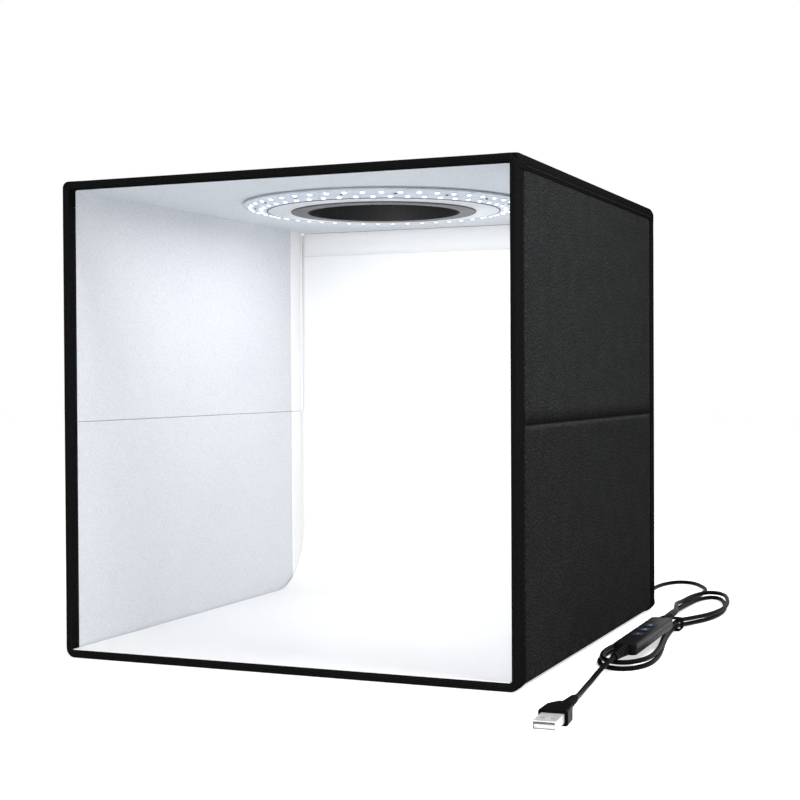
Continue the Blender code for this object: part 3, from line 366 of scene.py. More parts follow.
CLOTH = outer_cloth_finish("outer_cloth_finish")
# Upper side cloth: painted shade darkening to 0.16 at the crease. Lower side cloth: painted shade
# over the rest of the half (0.80) and at the crease (0.40), with a painted highlight lip (1.45)
# just below the crease.
UPPER_CLOTH_PAINTED_SHADE = outer_cloth_finish("upper_side_painted_shade_finish", [(0.0, 0.16), (0.0016, 0.32),
                                                       (0.0045, 0.66), (0.0090, 1.0)])
LOWER_CLOTH_PAINTED_HIGHLIGHT_AND_SHADE = outer_cloth_finish("lower_side_painted_highlight_and_shade_finish", [(-0.0060, 0.80), (-0.0032, 0.90),
                                                       (-0.0022, 1.45), (-0.0009, 1.45),
                                                       (-0.0004, 0.40)])
TAPE_BLACK = tape_finish()
LINING = lining_finish("lining_finish", (0.757, 0.772, 0.800), (0.696, 0.713, 0.750))
CEILING = lining_finish("ceiling_finish", (0.712, 0.750, 0.785), (0.640, 0.680, 0.725))
SHEET = sheet_finish()
LOOP = white_tape_finish()
BOARD_WHITE = light_board_finish()
CHIP_BODY = plastic_finish("chip_body_finish", (0.84, 0.86, 0.89), 0.35)
CHIP_FACE = chip_face_finish()
# Dark plastic for the light's trims and small parts, also used as painted shade in the plug's
# holes
DARK_TRIM_AND_HOLE_SHADE = plastic_finish("dark_trim_and_hole_shade_finish", (0.03, 0.032, 0.035), 0.5)
PALE_TRIM = plastic_finish("pale_trim_finish", (0.50, 0.53, 0.57), 0.5)
CORD = plastic_finish("cord_finish", (0.0034, 0.0034, 0.0038), 0.42, 1400.0, 0.00003,
                      Specular_IOR_Level=0.02)
FLANGE = flange_finish()
DIMMER = plastic_finish("dimmer_finish", (0.0050, 0.0050, 0.0060), 0.34, 1300.0, 0.00003,
                        Specular_IOR_Level=0.03)
BUTTON = plastic_finish("button_finish", (0.010, 0.017, 0.034), 0.5, 1500.0,
                        Specular_IOR_Level=0.12)
SYMBOL = plastic_finish("symbol_finish", (0.34, 0.40, 0.50), 0.5, 1500.0)
THREAD = plastic_finish("thread_finish", (0.0095, 0.0095, 0.0100), 0.8, 2500.0,
                        Specular_IOR_Level=0.15)
# Grey thread, darker than the sheet, also used as a painted shadow line
GREY_THREAD_SHADOW_LINE = plastic_finish("grey_thread_shadow_line_finish", (0.62, 0.62, 0.61), 0.8, 2500.0)
FOAM = plastic_finish("foam_finish", (0.82, 0.82, 0.83), 0.85, 700.0, 0.00015)
STIFFENER = plastic_finish("board_finish", (0.55, 0.55, 0.53), 0.7, 500.0, 0.0001)
CIRCUIT = plastic_finish("circuit_finish", (0.03, 0.16, 0.07), 0.45)
PLUG_METAL = metal_finish()
TONGUE = plastic_finish("tongue_finish", (0.84, 0.84, 0.82), 0.4)
FLAP_UNDER = plastic_finish("flap_under_finish", (0.036, 0.036, 0.038), 0.24, 600.0, 0.00002,
                            Specular_IOR_Level=0.45)


# Mesh building
class Build:
    """Gathers surfaces into one closed mesh piece, with texture places in metres."""

    def __init__(self, name):
        self.name = name
        self.verts, self.faces, self.places, self.slots, self.materials = [], [], [], [], []

    def add(self, verts, faces, places, material):
        if material not in self.materials:
            self.materials.append(material)
        first = len(self.verts)
        self.verts += [tuple(v) for v in verts]
        self.faces += [tuple(first + i for i in f) for f in faces]
        self.places += [tuple(p) for p in places]
        self.slots += [self.materials.index(material)] * len(faces)
        return self

    def done(self, sharp=38.0):
        mesh = bpy.data.meshes.new(self.name)
        mesh.from_pydata(self.verts, [], self.faces)
        layer = mesh.uv_layers.new(name="metres")
        loops = np.zeros(len(mesh.loops), np.int32)
        mesh.loops.foreach_get("vertex_index", loops)
        layer.data.foreach_set("uv", np.array(self.places, np.float32)[loops].ravel())
        for material in self.materials:
            mesh.materials.append(material)
        mesh.polygons.foreach_set("material_index", self.slots)
        bm = bmesh.new()
        bm.from_mesh(mesh)
        bmesh.ops.recalc_face_normals(bm, faces=bm.faces)
        bm.to_mesh(mesh)
        bm.free()
        mesh.polygons.foreach_set("use_smooth", [True] * len(mesh.polygons))
        mesh.set_sharp_from_angle(angle=math.radians(sharp))
        return in_scene(self.name, mesh)

    def sweep(self, sections, material, closed=False):
        """Skins sections, each a closed loop of points; open ends get flat caps."""
        count, size = len(sections), len(sections[0])
        table = np.array([[tuple(p) for p in s] for s in sections])
        along = np.cumsum([0.0] + [np.linalg.norm(b - a, axis=1).max()
                                   for a, b in zip(table, table[1:])])
        ring = table[count // 2]
        across = np.cumsum([0.0] + [np.linalg.norm(b - a) for a, b in zip(ring, ring[1:])])
        faces = []
        for i in range(count if closed else count - 1):
            j = (i + 1) % count
            for k in range(size):
                m = (k + 1) % size
                faces.append((i * size + k, i * size + m, j * size + m, j * size + k))
        if not closed:
            faces.append(tuple(range(size)))
            faces.append(tuple((count - 1) * size + k for k in reversed(range(size))))
        places = [(along[i], across[k]) for i in range(count) for k in range(size)]
        return self.add(table.reshape(-1, 3), faces, places, material)

    def skin(self, us, along, rows, top, bottom, material):
        """A closed cloth layer. Rows are (point, outward normal, distance) and us run along it;
        top and bottom say how far the faces stand out, as a number or at (u, distance)."""
        upper, lower, places = [], [], []
        for point, normal, distance in rows:
            for u in us:
                base = point + along * u
                for face, level in ((upper, top), (lower, bottom)):
                    height = level(u, distance) if callable(level) else level
                    face.append(base + normal * height)
                places.append((u, distance))
        wide, tall = len(us), len(rows)
        total = wide * tall
        faces = []
        for r in range(tall - 1):
            for c in range(wide - 1):
                a = r * wide + c
                faces.append((a, a + 1, a + wide + 1, a + wide))
                faces.append((total + a, total + a + wide, total + a + wide + 1, total + a + 1))
        edge = ([c for c in range(wide)] + [r * wide + wide - 1 for r in range(1, tall)]
                + [(tall - 1) * wide + c for c in range(wide - 2, -1, -1)]
                + [r * wide for r in range(tall - 2, 0, -1)])
        for a, b in zip(edge, edge[1:] + edge[:1]):
            faces.append((b, a, total + a, total + b))
        return self.add(upper + lower, faces, places + places, material)

    def flat(self, us, along, origin, across, normal, vs, top, bottom, material):
        """A cloth layer on a plane, where vs run across."""
        rows = [(Vector(origin) + across * v, normal, v) for v in vs]
        return self.skin(us, along, rows, top, bottom, material)


def lines(low, high, step, rim=0.0, extra=()):
    """Grid lines from low to high, closer together within a rounded rim."""
    count = max(2, int(round((high - low - 2 * rim) / step)) + 1)
    found = list(np.linspace(low + rim, high - rim, count)) + [x for x in extra if low < x < high]
    if rim:
        for share in (0.0, 0.12, 0.4):
            found += [low + rim * share, high - rim * share]
    return sorted(set(round(float(x), 6) for x in found))


def arc(count, first=0):
    """Angles over a quarter turn."""
    return [math.pi / 2 * i / count for i in range(first, count + 1)]


def circle(count):
    return [2 * math.pi * i / count for i in range(count)]


def rounded_rim(distance, radius):
    """Drop of a rounded edge at a distance from the border."""
    if distance >= radius:
        return 0.0
    return radius - math.sqrt(max(radius ** 2 - (radius - distance) ** 2, 0.0))


def ease(x, low, high):
    t = min(max((x - low) / (high - low), 0.0), 1.0)
    return t * t * (3 - 2 * t)


def cloth_top(us, vs, level, rise=0.0, shoulder=NONE, rims=NONE, seed=0.0, rough=0.00012,
              radius=0.0006):
    """Face height of stretched cloth: it swells a little between its tapes, and is uneven.
    shoulder gives the four edges' widths (low u, high u, low v, high v) that don't swell, and
    rims says which of them are rounded over."""
    def top(u, v):
        distances = (u - us[0], us[-1] - u, v - vs[0], vs[-1] - v)
        swell = 1.0
        for d, s in zip(distances, shoulder):
            if s:
                swell *= ease(d, s * 0.35, s * 1.8)
        wave = noise.noise(Vector((u * 24, v * 24, seed))) + 0.4 * noise.noise(
            Vector((u * 85, v * 85, seed + 7)))
        height = level + rise * swell + rough * wave * swell
        return height - sum(rounded_rim(d, radius) for d, r in zip(distances, rims) if r)

    return top


def panel(name, xs, origin, across, normal, vs, level, under, finish, lift=None, **shape):
    """A cloth layer on a plane along X, with a stretched face; lift raises it at (u, v)."""
    face = cloth_top(xs, vs, level, **shape)
    top = (lambda u, v: face(u, v) + lift(u, v)) if lift else face
    return Build(name).flat(xs, X, origin, across, normal, vs, top, under, finish)


def settle(obj, replaced):
    if replaced:
        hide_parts(*replaced)
    return obj


def ride(piece, body, slot, *replaced, sharp=38.0):
    obj = piece.done(sharp) if isinstance(piece, Build) else piece
    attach(obj, body)
    return settle(obj, replaced)


def bend(x, low, high):
    """The start and end of a side's bend, at one x."""
    return (x, 0, low), (x, 0, high)


def blend(piece, a, b, start, end, slot, *replaced):
    obj = piece.done()
    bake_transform(obj)
    return settle(obj, replaced)


# Cords, first of all pieces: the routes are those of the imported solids
def hank_contour(angle):
    reach = max(abs(math.cos(angle)) - 0.035, 0.0) / 0.965
    if math.cos(angle) > 0:
        lobe, fullness, shift = 0.0175, 0.2, 0.005 * math.sin(math.pi * reach) ** 2
    else:
        lobe, fullness, shift = 0.034, 2.0, 0.003 * reach ** 3
    share = reach ** 2 * (1 + fullness ** 2) / (reach ** 2 + fullness ** 2)
    width = 0.0022 + lobe * share
    return Vector((HANK_X + shift + width * math.sin(angle), HANK_Y + 0.156 * math.cos(angle),
                   0.0))


def hank_point(turn):
    """A point of the hank's two turns. The second lies beside and on top of the first, and both
    rise a little where the tie goes round them."""
    spacing, climb, hump = 0.0037, 0.0036, 0.0012
    angle = math.radians(-55) - 2 * math.pi * turn
    angle += 0.28 * math.sin(2 * angle)
    step = math.radians(0.5)
    way = (hank_contour(angle + step) - hank_contour(angle - step)).normalized()
    outward = Vector((-way.y, way.x, 0.0))
    place = hank_contour(angle)
    side = place - Vector((HANK_X, HANK_Y, 0.0))
    if abs(math.sin(angle)) > 0.5:
        side.y = 0.0
    if outward.dot(side) < 0:
        outward = -outward
    place = place + outward * spacing * abs(turn - 1)
    place.z = (CORD_R + climb * ease(turn, 0.85, 1.15)
               + hump * math.exp(-((place.y - HANK_Y) / 0.022) ** 4))
    return place


def smooth_route(points):
    """Points about 8 mm apart along a smooth line through the given ones."""
    step = 0.008
    route = [Vector(p) for p in points]
    ends = [route[0] * 2 - route[1]] + route + [route[-1] * 2 - route[-2]]
    fine = []
    for a, b, c, d in zip(ends, ends[1:], ends[2:], ends[3:]):
        for i in range(24):
            t = i / 24
            fine.append(((b * 2) + (c - a) * t + (a * 2 - b * 5 + c * 4 - d) * t ** 2
                         + (b * 3 - a - c * 3 + d) * t ** 3) / 2)
    fine.append(route[-1])
    lengths = np.cumsum([0.0] + [(q - p).length for p, q in zip(fine, fine[1:])])
    wanted = np.linspace(0.0, lengths[-1], max(2, int(round(lengths[-1] / step))) + 1)
    table = np.array([tuple(p) for p in fine])
    return [Vector(np.interp(w, lengths, table[:, k]) for k in range(3)) for w in wanted]


def cord_curve(name, points):
    """A round cord along one smooth open spline."""
    curve = bpy.data.curves.new(name, "CURVE")
    curve.dimensions = "3D"
    curve.bevel_depth, curve.bevel_resolution, curve.resolution_u = CORD_R, 4, 6
    curve.use_fill_caps = True
    spline = curve.splines.new("NURBS")
    spline.points.add(len(points) - 1)
    for slot, point in zip(spline.points, points):
        slot.co = (*point, 1.0)
    spline.order_u = 3
    spline.use_endpoint_u = True
    curve.materials.append(CORD)
    return in_scene(name, curve)


def make_cords():
    # The dimmer's axis, and the outer ends of the boots on its two sides
    axis = Vector((0.0, math.cos(LEAD_TILT), math.sin(LEAD_TILT)))
    centre, half_dimmer, boot = Vector((0.1845, -0.0177, 0.0109)), 0.051, 0.024
    reach = half_dimmer + GAP + boot + GAP
    far, near = centre + axis * reach, centre - axis * reach

    # Hank of two full loops, with its rise to the dimmer
    hank = [hank_point(-0.10 + i / 24) for i in range(50)]
    rise = smooth_route([hank[-2], hank[-1],
                         (0.1688, 0.1500, 0.0070), (0.1718, 0.1330, 0.0083),
                         (0.1758, 0.1140, 0.0096), (0.1796, 0.0980, 0.0106),
                         (0.1826, 0.0840, 0.0114), (0.1842, 0.0730, 0.0118),
                         far + axis * CORD_D])
    skip, travelled, lead = (hank[-1] - hank[-2]).length, 0.0, []
    for p, q in zip(rise, rise[1:]):
        travelled += (q - p).length
        if travelled > skip + 0.004:
            lead.append(q)
    way = (hank[1] - hank[0]).normalized()
    meet = hank[0] - way * CORD_D - way * GAP
    foot = DROP_FOOT - Z * GAP
    run = smooth_route([foot, foot - Z * CORD_D,
                        (0.1464, 0.1642, 0.0088), (0.1460, 0.1698, 0.0036),
                        (0.1438, 0.1778, 0.0016), (0.1384, 0.1990, 0.0015),
                        (0.1316, 0.2240, 0.0015), (0.1264, 0.2490, 0.0015),
                        (0.1256, 0.2710, 0.0015), (0.1296, 0.2930, 0.0015),
                        (0.1385, 0.3050, 0.0015), (0.1490, 0.3010, 0.0015),
                        (0.1590, 0.2850, 0.0015), (0.1668, 0.2640, 0.0015),
                        meet - way * CORD_D * 4, meet - way * CORD_D])
    long = run + hank + lead + [far]
    lead_piece = ride(cord_curve("lead_and_hank", long), "root", "cord", "cord_run", "cord_hank")

    # Drop behind the tent, a tube from just under the roof down towards the floor
    path = [DROP_TOP.lerp(DROP_FOOT, t) for t in np.linspace(0, 1, 34)]
    sway = [p + Vector((0.0004 * math.sin(i * 0.5), 0.0003 * math.sin(i * 0.37), 0.0))
            * min(i, 33 - i) / 16 for i, p in enumerate(path)]
    drop = Build("lead_drop").sweep(
        [[c + Vector((CORD_R * math.cos(a), CORD_R * math.sin(a), 0.0)) for a in circle(12)]
         for c in sway], CORD)
    drop_piece = ride(drop, "root", "cord", "cord_drop", sharp=60)
    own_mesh(drop_piece)

    # Tail from the dimmer to the plug
    plug_way = Vector((-math.sin(PLUG_TURN), math.cos(PLUG_TURN), 0.0))
    end = PLUG_START - plug_way * GAP
    tail = smooth_route([near, near - axis * CORD_D,
                         (0.1834, -0.1045, 0.0086), (0.1814, -0.1165, 0.0052),
                         (0.1806, -0.1295, 0.0023), (0.1812, -0.1430, 0.0015),
                         (0.1828, -0.1570, 0.0015), (0.1848, -0.1700, 0.0023),
                         end - plug_way * CORD_D, end])
    tail_piece = ride(cord_curve("lead_tail", tail), "root", "cord", "cord_tail")


make_cords()


# Tapes round the front and rear edges
def u_section(inner_leg):
    """Section of tape folded over an edge, as (depth from the outer face, distance in)."""
    r, far = TAPE_BEND, THICK
    outside = [(0.0, OUTER_LEG), (0.0, OUTER_LEG * 0.5 + r * 0.5)]
    outside += [(r - r * math.cos(a), r - r * math.sin(a)) for a in arc(4)]
    outside += [(far - r + r * math.sin(a), r - r * math.cos(a)) for a in arc(4)]
    if inner_leg > r + 0.0006:
        outside += [(far, inner_leg * 0.5 + r * 0.5), (far, inner_leg)]
    back = []
    for depth, inward in reversed(outside):
        outer = depth < far / 2
        if inward > r:
            back.append((depth + (TAPE if outer else -TAPE), inward))
        else:
            toward = Vector((r if outer else far - r, r)) - Vector((depth, inward))
            toward = toward.normalized() * TAPE if toward.length > 1e-6 else Vector((0, TAPE))
            back.append((depth + toward.x, inward + toward.y))
    return outside + back


def frame_path(kind):
    """Outer line of the frame in x and z with its inward normals, for the floor or the roof."""
    r, low = FRAME_RADIUS, kind == "floor"
    corner = r if low else TOP - r
    ends = []
    for side in (-1, 1):
        turn = []
        for i, a in enumerate(arc(8)):
            out = Vector((side * math.cos(a), -math.sin(a) if low else math.sin(a)))
            # The tape sinks a little at the middle of its turn
            dip = 0.00022 if i == 4 else 0.0
            turn.append((Vector((side * (HALF - r), corner)) + out * (r - dip), -out))
        if not low:
            levels = np.linspace(ROOF_HINGE + 0.0002, corner, 4)[:-1]
            turn = [(Vector((side * HALF, z)), Vector((-side, 0.0))) for z in levels] + turn
        ends.append(turn)
    level, inward = (0.0, Vector((0, 1))) if low else (TOP, Vector((0, -1)))
    middle = [(Vector((x, level)), inward) for x in np.linspace(-(HALF - r), HALF - r, 46)[1:-1]]
    return ends[0] + middle + ends[1][::-1]


def side_path(side, low, high):
    count = max(2, int(round((high - low) / 0.006)) + 1)
    levels = [*np.linspace(low, high, count), *[z for z in NEAR_HINGES if low < z < high]]
    return [(Vector((side * HALF, z)), Vector((-side, 0.0)))
            for z in sorted(set(round(float(z), 6) for z in levels))]


def edge_tapes(build, path, front_seed, rear_seed):
    """Tapes folded over the front and rear edges of the panels along a path in x and z."""
    for inner_leg, y, way, seed in ((INNER_LEG, FRONT, 1, front_seed), (0.0, REAR, -1, rear_seed)):
        section, rings = u_section(inner_leg), []
        for i, (point, inward) in enumerate(path):
            drift = 0.00010 * noise.noise(Vector((i * 0.31, seed, 0.0)))
            places = [(point + inward * depth, distance) for depth, distance in section]
            rings.append([Vector((p.x, y + way * (distance + drift), p.y))
                          for p, distance in places])
        build.sweep(rings, TAPE_BLACK)


def roof_edge_band(build, side):
    """A band along the roof's side edge, softly rolled and proud between the two end tapes."""
    r, proud = 0.0040, 0.0013
    centre = Vector((side * (HALF - r), TOP - r))
    outside = [(side * HALF, 0.2908), (side * HALF, 0.2935), (side * HALF, TOP - r)]
    outside += [tuple(centre + Vector((side * math.cos(a), math.sin(a))) * r) for a in arc(6, 1)]
    outside += [(side * (HALF - 0.008), TOP), (side * (HALF - OUTER_LEG), TOP)]
    inside = []
    for x, z in outside:
        if z <= TOP - r:
            inside.append((x - side * TAPE, z))
        elif abs(x) <= HALF - r:
            inside.append((x, z - TAPE))
        else:
            away = (Vector((x, z)) - centre).normalized()
            inside.append((x - away.x * TAPE, z - away.y * TAPE))
    sections = []
    for y in lines(FRONT + 0.0012, REAR - 0.0012, 0.006, 0.008, (FRONT + 0.003,)):
        full = ease(min(y - FRONT, REAR - y), 0.0006, 0.0090)
        ring = []
        for j, (x, z) in enumerate(outside):
            share = full * (1.0 if 0 < j < len(outside) - 2 else 0.35)
            away = Vector((x, z)) - Vector((side * (HALF - 0.009), TOP - 0.009))
            away = away.normalized() * proud * share
            ring.append(Vector((x + away.x, y, z + away.y)))
        sections.append(ring + [Vector((x, y, z)) for x, z in reversed(inside)])
    build.sweep(sections, TAPE_BLACK)


def make_tapes():
    for kind, body in (("floor", "root"), ("roof", "roof")):
        build = Build(kind + "_tape")
        edge_tapes(build, frame_path(kind), 1.0, 3.0)
        if kind == "roof":
            for side in (-1, 1):
                roof_edge_band(build, side)
        ride(build, body, "tape", kind + "_binding")
    # Front and rear tapes of each half of a side, and the tapes along its folding edges
    for side, word, half in SIDE_HALVES:
        name, lower = f"{word}_{half}", half == "lower"
        low, high = (0.0061, CREASE) if lower else (CREASE, ROOF_HINGE)
        build = Build(name + "_tape")
        edge_tapes(build, side_path(side, low, high), side * 2.0, side * 4.0)
        x0, x1 = side * (INNER + 0.0015), side * (HALF - TAPE_BEND)
        for z, t in ([] if lower else [(low + 0.0002, -TAPE)]) + [(high - 0.0002, TAPE)]:
            ring = [(x0, z), (x1, z), (x1, z - t), (x0, z - t)]
            ys = np.linspace(FRONT + 0.0022, REAR - 0.0022, 40)
            build.sweep([[Vector((x, y, h)) for x, h in ring] for y in ys], TAPE_BLACK)
        if lower:
            blend(build, "root", name, *bend(side * INNER, 0.0065, 0.0195), "tape",
                  name + "_binding")
        else:
            ride(build, name, "tape", name + "_binding")


make_tapes()


# Stitches along the tapes
def stitches(build, start, end, out, material=THREAD, pitch=0.0034, length=0.0025):
    """A row of short raised threads from start to end on a face with the outward normal out."""
    start, end = Vector(start), Vector(end)
    way = (end - start).normalized()
    for first in np.arange(pitch / 2, (end - start).length - length, pitch):
        rings = []
        for share, size, lift in ((0.0, 0.45, -0.0001), (0.25, 1.0, 0.0), (0.75, 1.0, 0.0),
                                  (1.0, 0.45, -0.0001)):
            place = start + way * (first + share * length)
            across = way.cross(out) * THREAD_WIDTH / 2 * size
            up = out * (0.00022 * size + lift)
            rings.append([place - across - out * 0.0001, place - across * 0.6 + up,
                          place + across * 0.6 + up, place + across - out * 0.0001])
        build.sweep(rings, material)


def make_stitches():
    rows = (FRONT + OUTER_LEG - 0.0020, REAR - OUTER_LEG + 0.0020)
    inner_row = FRONT + INNER_LEG - 0.0016
    ends = (FRONT + 0.014, REAR - 0.014)
    for side, word, half in SIDE_HALVES:
        low, high = ((0.0225, CREASE - 0.0085) if half == "lower"
                     else (CREASE + 0.0085, ROOF_HINGE - 0.001))
        build = Build(f"{word}_{half}_stitches")
        for x, y, out in [(HALF, y, 1) for y in rows] + [(HALF - THICK, inner_row, -1)]:
            stitches(build, (side * x, y, low), (side * x, y, high), X * side * out)
        ride(build, f"{word}_{half}", "tape", sharp=60)
    build = Build("roof_stitches")
    for y in rows:
        stitches(build, (-0.138, y, TOP), (0.138, y, TOP), Z)
    stitches(build, (-0.143, inner_row, ROOF_UNDER), (0.143, inner_row, ROOF_UNDER), -Z)
    for side in (-1, 1):
        for x, z, out in ((HALF + 0.0011, 0.2930, X * side),
                          (HALF - OUTER_LEG + 0.0020, TOP + 0.0008, Z)):
            stitches(build, (side * x, ends[0], z), (side * x, ends[1], z), out)
    ride(build, "roof", "tape", sharp=60)
    build = Build("back_stitches")
    y, low, high, half = BACK + THICK, BACK_HINGE + 0.0102, BACK_TOP - 0.010, BACK_HALF - 0.010
    corners = [(-half, y, low), (half, y, low), (half, y, high), (-half, y, high)]
    for start, end in zip(corners, corners[1:] + corners[:1]):
        stitches(build, start, end, Y)
    ride(build, "back_panel", "tape", sharp=60)


make_stitches()


# Outer cloth of the sides, floor and roof
def side_rows(side, low, high, step=0.0055, level=HALF, facing=1):
    return [(X * side * level + Z * v, X * side * facing, v)
            for v in lines(low, high, step, 0.0012, NEAR_HINGES + NEAR_CREASE)]


def make_side_cloth(side, word, us):
    plain = cloth_top(us, (0.0, TOP), CLOTH_LEVEL, SWELL, (0.004, 0.004, 0, 0), NONE, 11.0 + side)

    def pressed(u):
        """How fully the crease is pressed in: not at all where it meets the tapes."""
        return ease(u - us[0], 0.0004, 0.0030) * ease(us[-1] - u, 0.0004, 0.0080)

    def lower_top(u, v):
        # Flat underneath, where the tent stands on it, and turned in along the crease
        share = ease(v, 0.004, 0.014)
        dip = -0.0012 * (1 - ease(CREASE - v, 0.0, 0.0016))
        return -0.00065 * (1 - share) + plain(u, v) * share + dip * pressed(u)

    def upper_top(u, v):
        # The groove along the crease: the cloth turns in over some millimetres
        away = v - CREASE - 0.0003 * noise.noise(Vector((u * 30, side, 9.0)))
        return plain(u, v) - 0.0012 * (1 - ease(away, 0.0, 0.0062)) * pressed(u)

    # The lower half also turns under the floor's edge
    r = FRAME_RADIUS
    rows = [(Vector((side * x, 0, 0)), -Z, x - HALF) for x in (0.1380, 0.1400, 0.1420)]
    for a in arc(6):
        out = Vector((side * math.sin(a), 0, -math.cos(a)))
        rows.append((Vector((side * (HALF - r), 0, r)) + out * r, out,
                     r * a - r * math.pi / 2 + r))
    rows += [row for row in side_rows(side, r, CREASE) if row[2] > r + 0.0004]
    blend(Build(f"{word}_lower_cloth").skin(us, Y, rows, lower_top, CLOTH_UNDER, LOWER_CLOTH_PAINTED_HIGHLIGHT_AND_SHADE),
          "root", f"{word}_lower", *bend(side * HALF, 0.0065, 0.0195), "outer_cloth",
          f"{word}_lower_cover", f"floor_{word}_spine")
    ride(Build(f"{word}_upper_cloth").skin(us, Y, side_rows(side, CREASE, ROOF_HINGE), upper_top,
                                           CLOTH_UNDER, UPPER_CLOTH_PAINTED_SHADE),
         f"{word}_upper", "outer_cloth", f"{word}_upper_cover")
    ride(Build(f"{word}_roof_skirt").flat(us, Y, (side * HALF, 0, 0), Z, X * side,
                                          lines(ROOF_HINGE, 0.2936, 0.003), plain, CLOTH_UNDER,
                                          CLOTH),
         "roof", "outer_cloth", f"roof_{word}_spine")
    # Strip that carries the cloth over the crease; its black tape, darker than the cloth, shows
    # between the two cloths as painted shade in the groove
    levels = [CREASE + d for d in (-0.0030, -0.0018, -0.0008, 0.0, 0.0008, 0.0018, 0.0030)]
    blend(Build(f"{word}_crease_strip").flat(us, Y, (side * HALF, 0, 0), Z, X * side, levels,
                                             -0.00118, -0.00145, TAPE_BLACK),
          f"{word}_lower", f"{word}_upper",
          *bend(side * HALF, CREASE - 0.0012, CREASE + 0.0012), "outer_cloth")


def open_window(obj, radius, level):
    """Cuts the round window out of a piece and keeps the result as its mesh."""
    bm = bmesh.new()
    bmesh.ops.create_cone(bm, cap_ends=True, segments=96, radius1=radius, radius2=radius,
                          depth=0.02, matrix=Matrix.Translation((0.0, LIGHT_Y, level)))
    mesh = bpy.data.meshes.new("window_cutter")
    bm.to_mesh(mesh)
    bm.free()
    cutter = in_scene("window_cutter", mesh)
    modifier = obj.modifiers.new("window", "BOOLEAN")
    modifier.object = cutter
    modifier.operation = "DIFFERENCE"
    modifier.solver = "EXACT"
    graph = bpy.context.evaluated_depsgraph_get()
    made = bpy.data.meshes.new_from_object(obj.evaluated_get(graph))
    obj.modifiers.clear()
    obj.data = made
    bpy.data.objects.remove(cutter)
    made.set_sharp_from_angle(angle=math.radians(38))
    return obj


def make_outer_cloth():
    ends = (FRONT + CLOTH_INSET, REAR - CLOTH_INSET)
    for side, word in SIDES:
        make_side_cloth(side, word, lines(*ends, 0.0055, 0.0018))
    xs, ys = lines(-0.1386, 0.1386, 0.0075, 0.0016), lines(*ends, 0.0075, 0.0016)
    ride(panel("floor_cloth", xs, (0, 0, 0), Y, -Z, ys, CLOTH_LEVEL, CLOTH_UNDER, CLOTH,
               seed=31.0), "root", "outer_cloth", "floor_cover")
    roof = panel("roof_cloth", xs, (0, 0, TOP), Y, Z, ys, CLOTH_LEVEL, CLOTH_UNDER, CLOTH,
                 rise=0.0006, shoulder=(0.004,) * 4, seed=41.0)
    ride(open_window(roof.done(), WINDOW, TOP), "roof", "outer_cloth", "roof_cover")


make_outer_cloth()


# Linings, loop tapes and the white back
def make_linings():
    start = FRONT + LINING_INSET
    us = lines(start, FRONT + 0.3066, 0.006, 0.0010, start + np.arange(0.0006, 0.0030, 0.0003))
    loop_us = lines(FRONT + 0.3070, REAR + 0.0001, 0.004, 0.0006)
    for side, word in SIDES:
        # Each span's name, its two ends, and whether its low and high edges are rounded
        spans = [("lower", 0.0050, CREASE - 0.0001, (0, 1))]
        if side < 0:
            spans.append(("upper", CREASE + 0.0001, 0.2950, (1, 0)))
        else:
            spans += [("upper", CREASE + 0.0001, ROOF_HINGE - 0.0004, (1, 0)),
                      ("top", ROOF_HINGE + 0.0004, 0.2950, (0, 0))]
        for kind, along, finish, slot, level, under, ends, roll in (
                ("wall_lining", us, LINING, "lining", LINING_LEVEL, LINING_UNDER, (0, 0), 0.0005),
                ("loop_tape", loop_us, LOOP, "white_strip", 0.0002, -0.0006, (1, 1), 0.0)):
            for half, low, high, rims in spans:
                rows = side_rows(side, low, high, 0.006, INNER, -1)
                face = cloth_top(along, [row[2] for row in rows], level, 0.00015,
                                 (0.003, 0.003, 0, 0), ends + rims, 51.0 + side * 3, 0.00008,
                                 0.0005)
                # The lining's front edge stands up in a small roll
                piece = Build(f"{word}_{half}_{kind}").skin(
                    along, Y, rows, lambda u, v: face(u, v)
                    + roll * math.exp(-((u - along[0] - 0.0013) / 0.0005) ** 2), under, finish)
                replaced = [f"{word}_{half}_lining"] if finish == LINING and half != "top" else []
                if half == "lower":
                    blend(piece, "root", f"{word}_lower", *bend(side * INNER, 0.0080, 0.0178),
                          slot, *replaced)
                elif half == "upper" and side < 0:
                    blend(piece, "left_upper", "roof", *bend(side * INNER, 0.2783, 0.2881),
                          slot, *replaced)
                else:
                    ride(piece, "roof" if half == "top" else f"{word}_upper", slot, *replaced)
    # Ceiling, which turns up over the rear tape, and floor
    xs = lines(-INNER - 0.0008, INNER + 0.0008, 0.008)
    rim = REAR - 0.0034, REAR - 0.0018
    ys = lines(start, REAR - 0.0001, 0.008, 0.0004, (rim[0], REAR - 0.0026, rim[1]))
    ceiling = panel("ceiling_lining", xs, (0, 0, ROOF_UNDER), Y, -Z, ys, LINING_LEVEL,
                    LINING_UNDER, CEILING, lambda u, v: 0.0006 * ease(v, *rim), rise=0.00012,
                    shoulder=(0.003, 0.003, 0.003, 0), seed=61.0, rough=0.00008)
    ride(open_window(ceiling.done(), WINDOW + 0.0002, ROOF_UNDER), "roof", "lining",
         "roof_lining")
    ride(panel("floor_lining_cloth", xs, (0, 0, THICK), Y, Z,
               lines(start, REAR - 0.0012, 0.008, 0.0008), -0.0005, LINING_UNDER, LINING,
               rise=0.0001, seed=71.0, rough=0.00006), "root", "lining", "floor_lining")


make_linings()


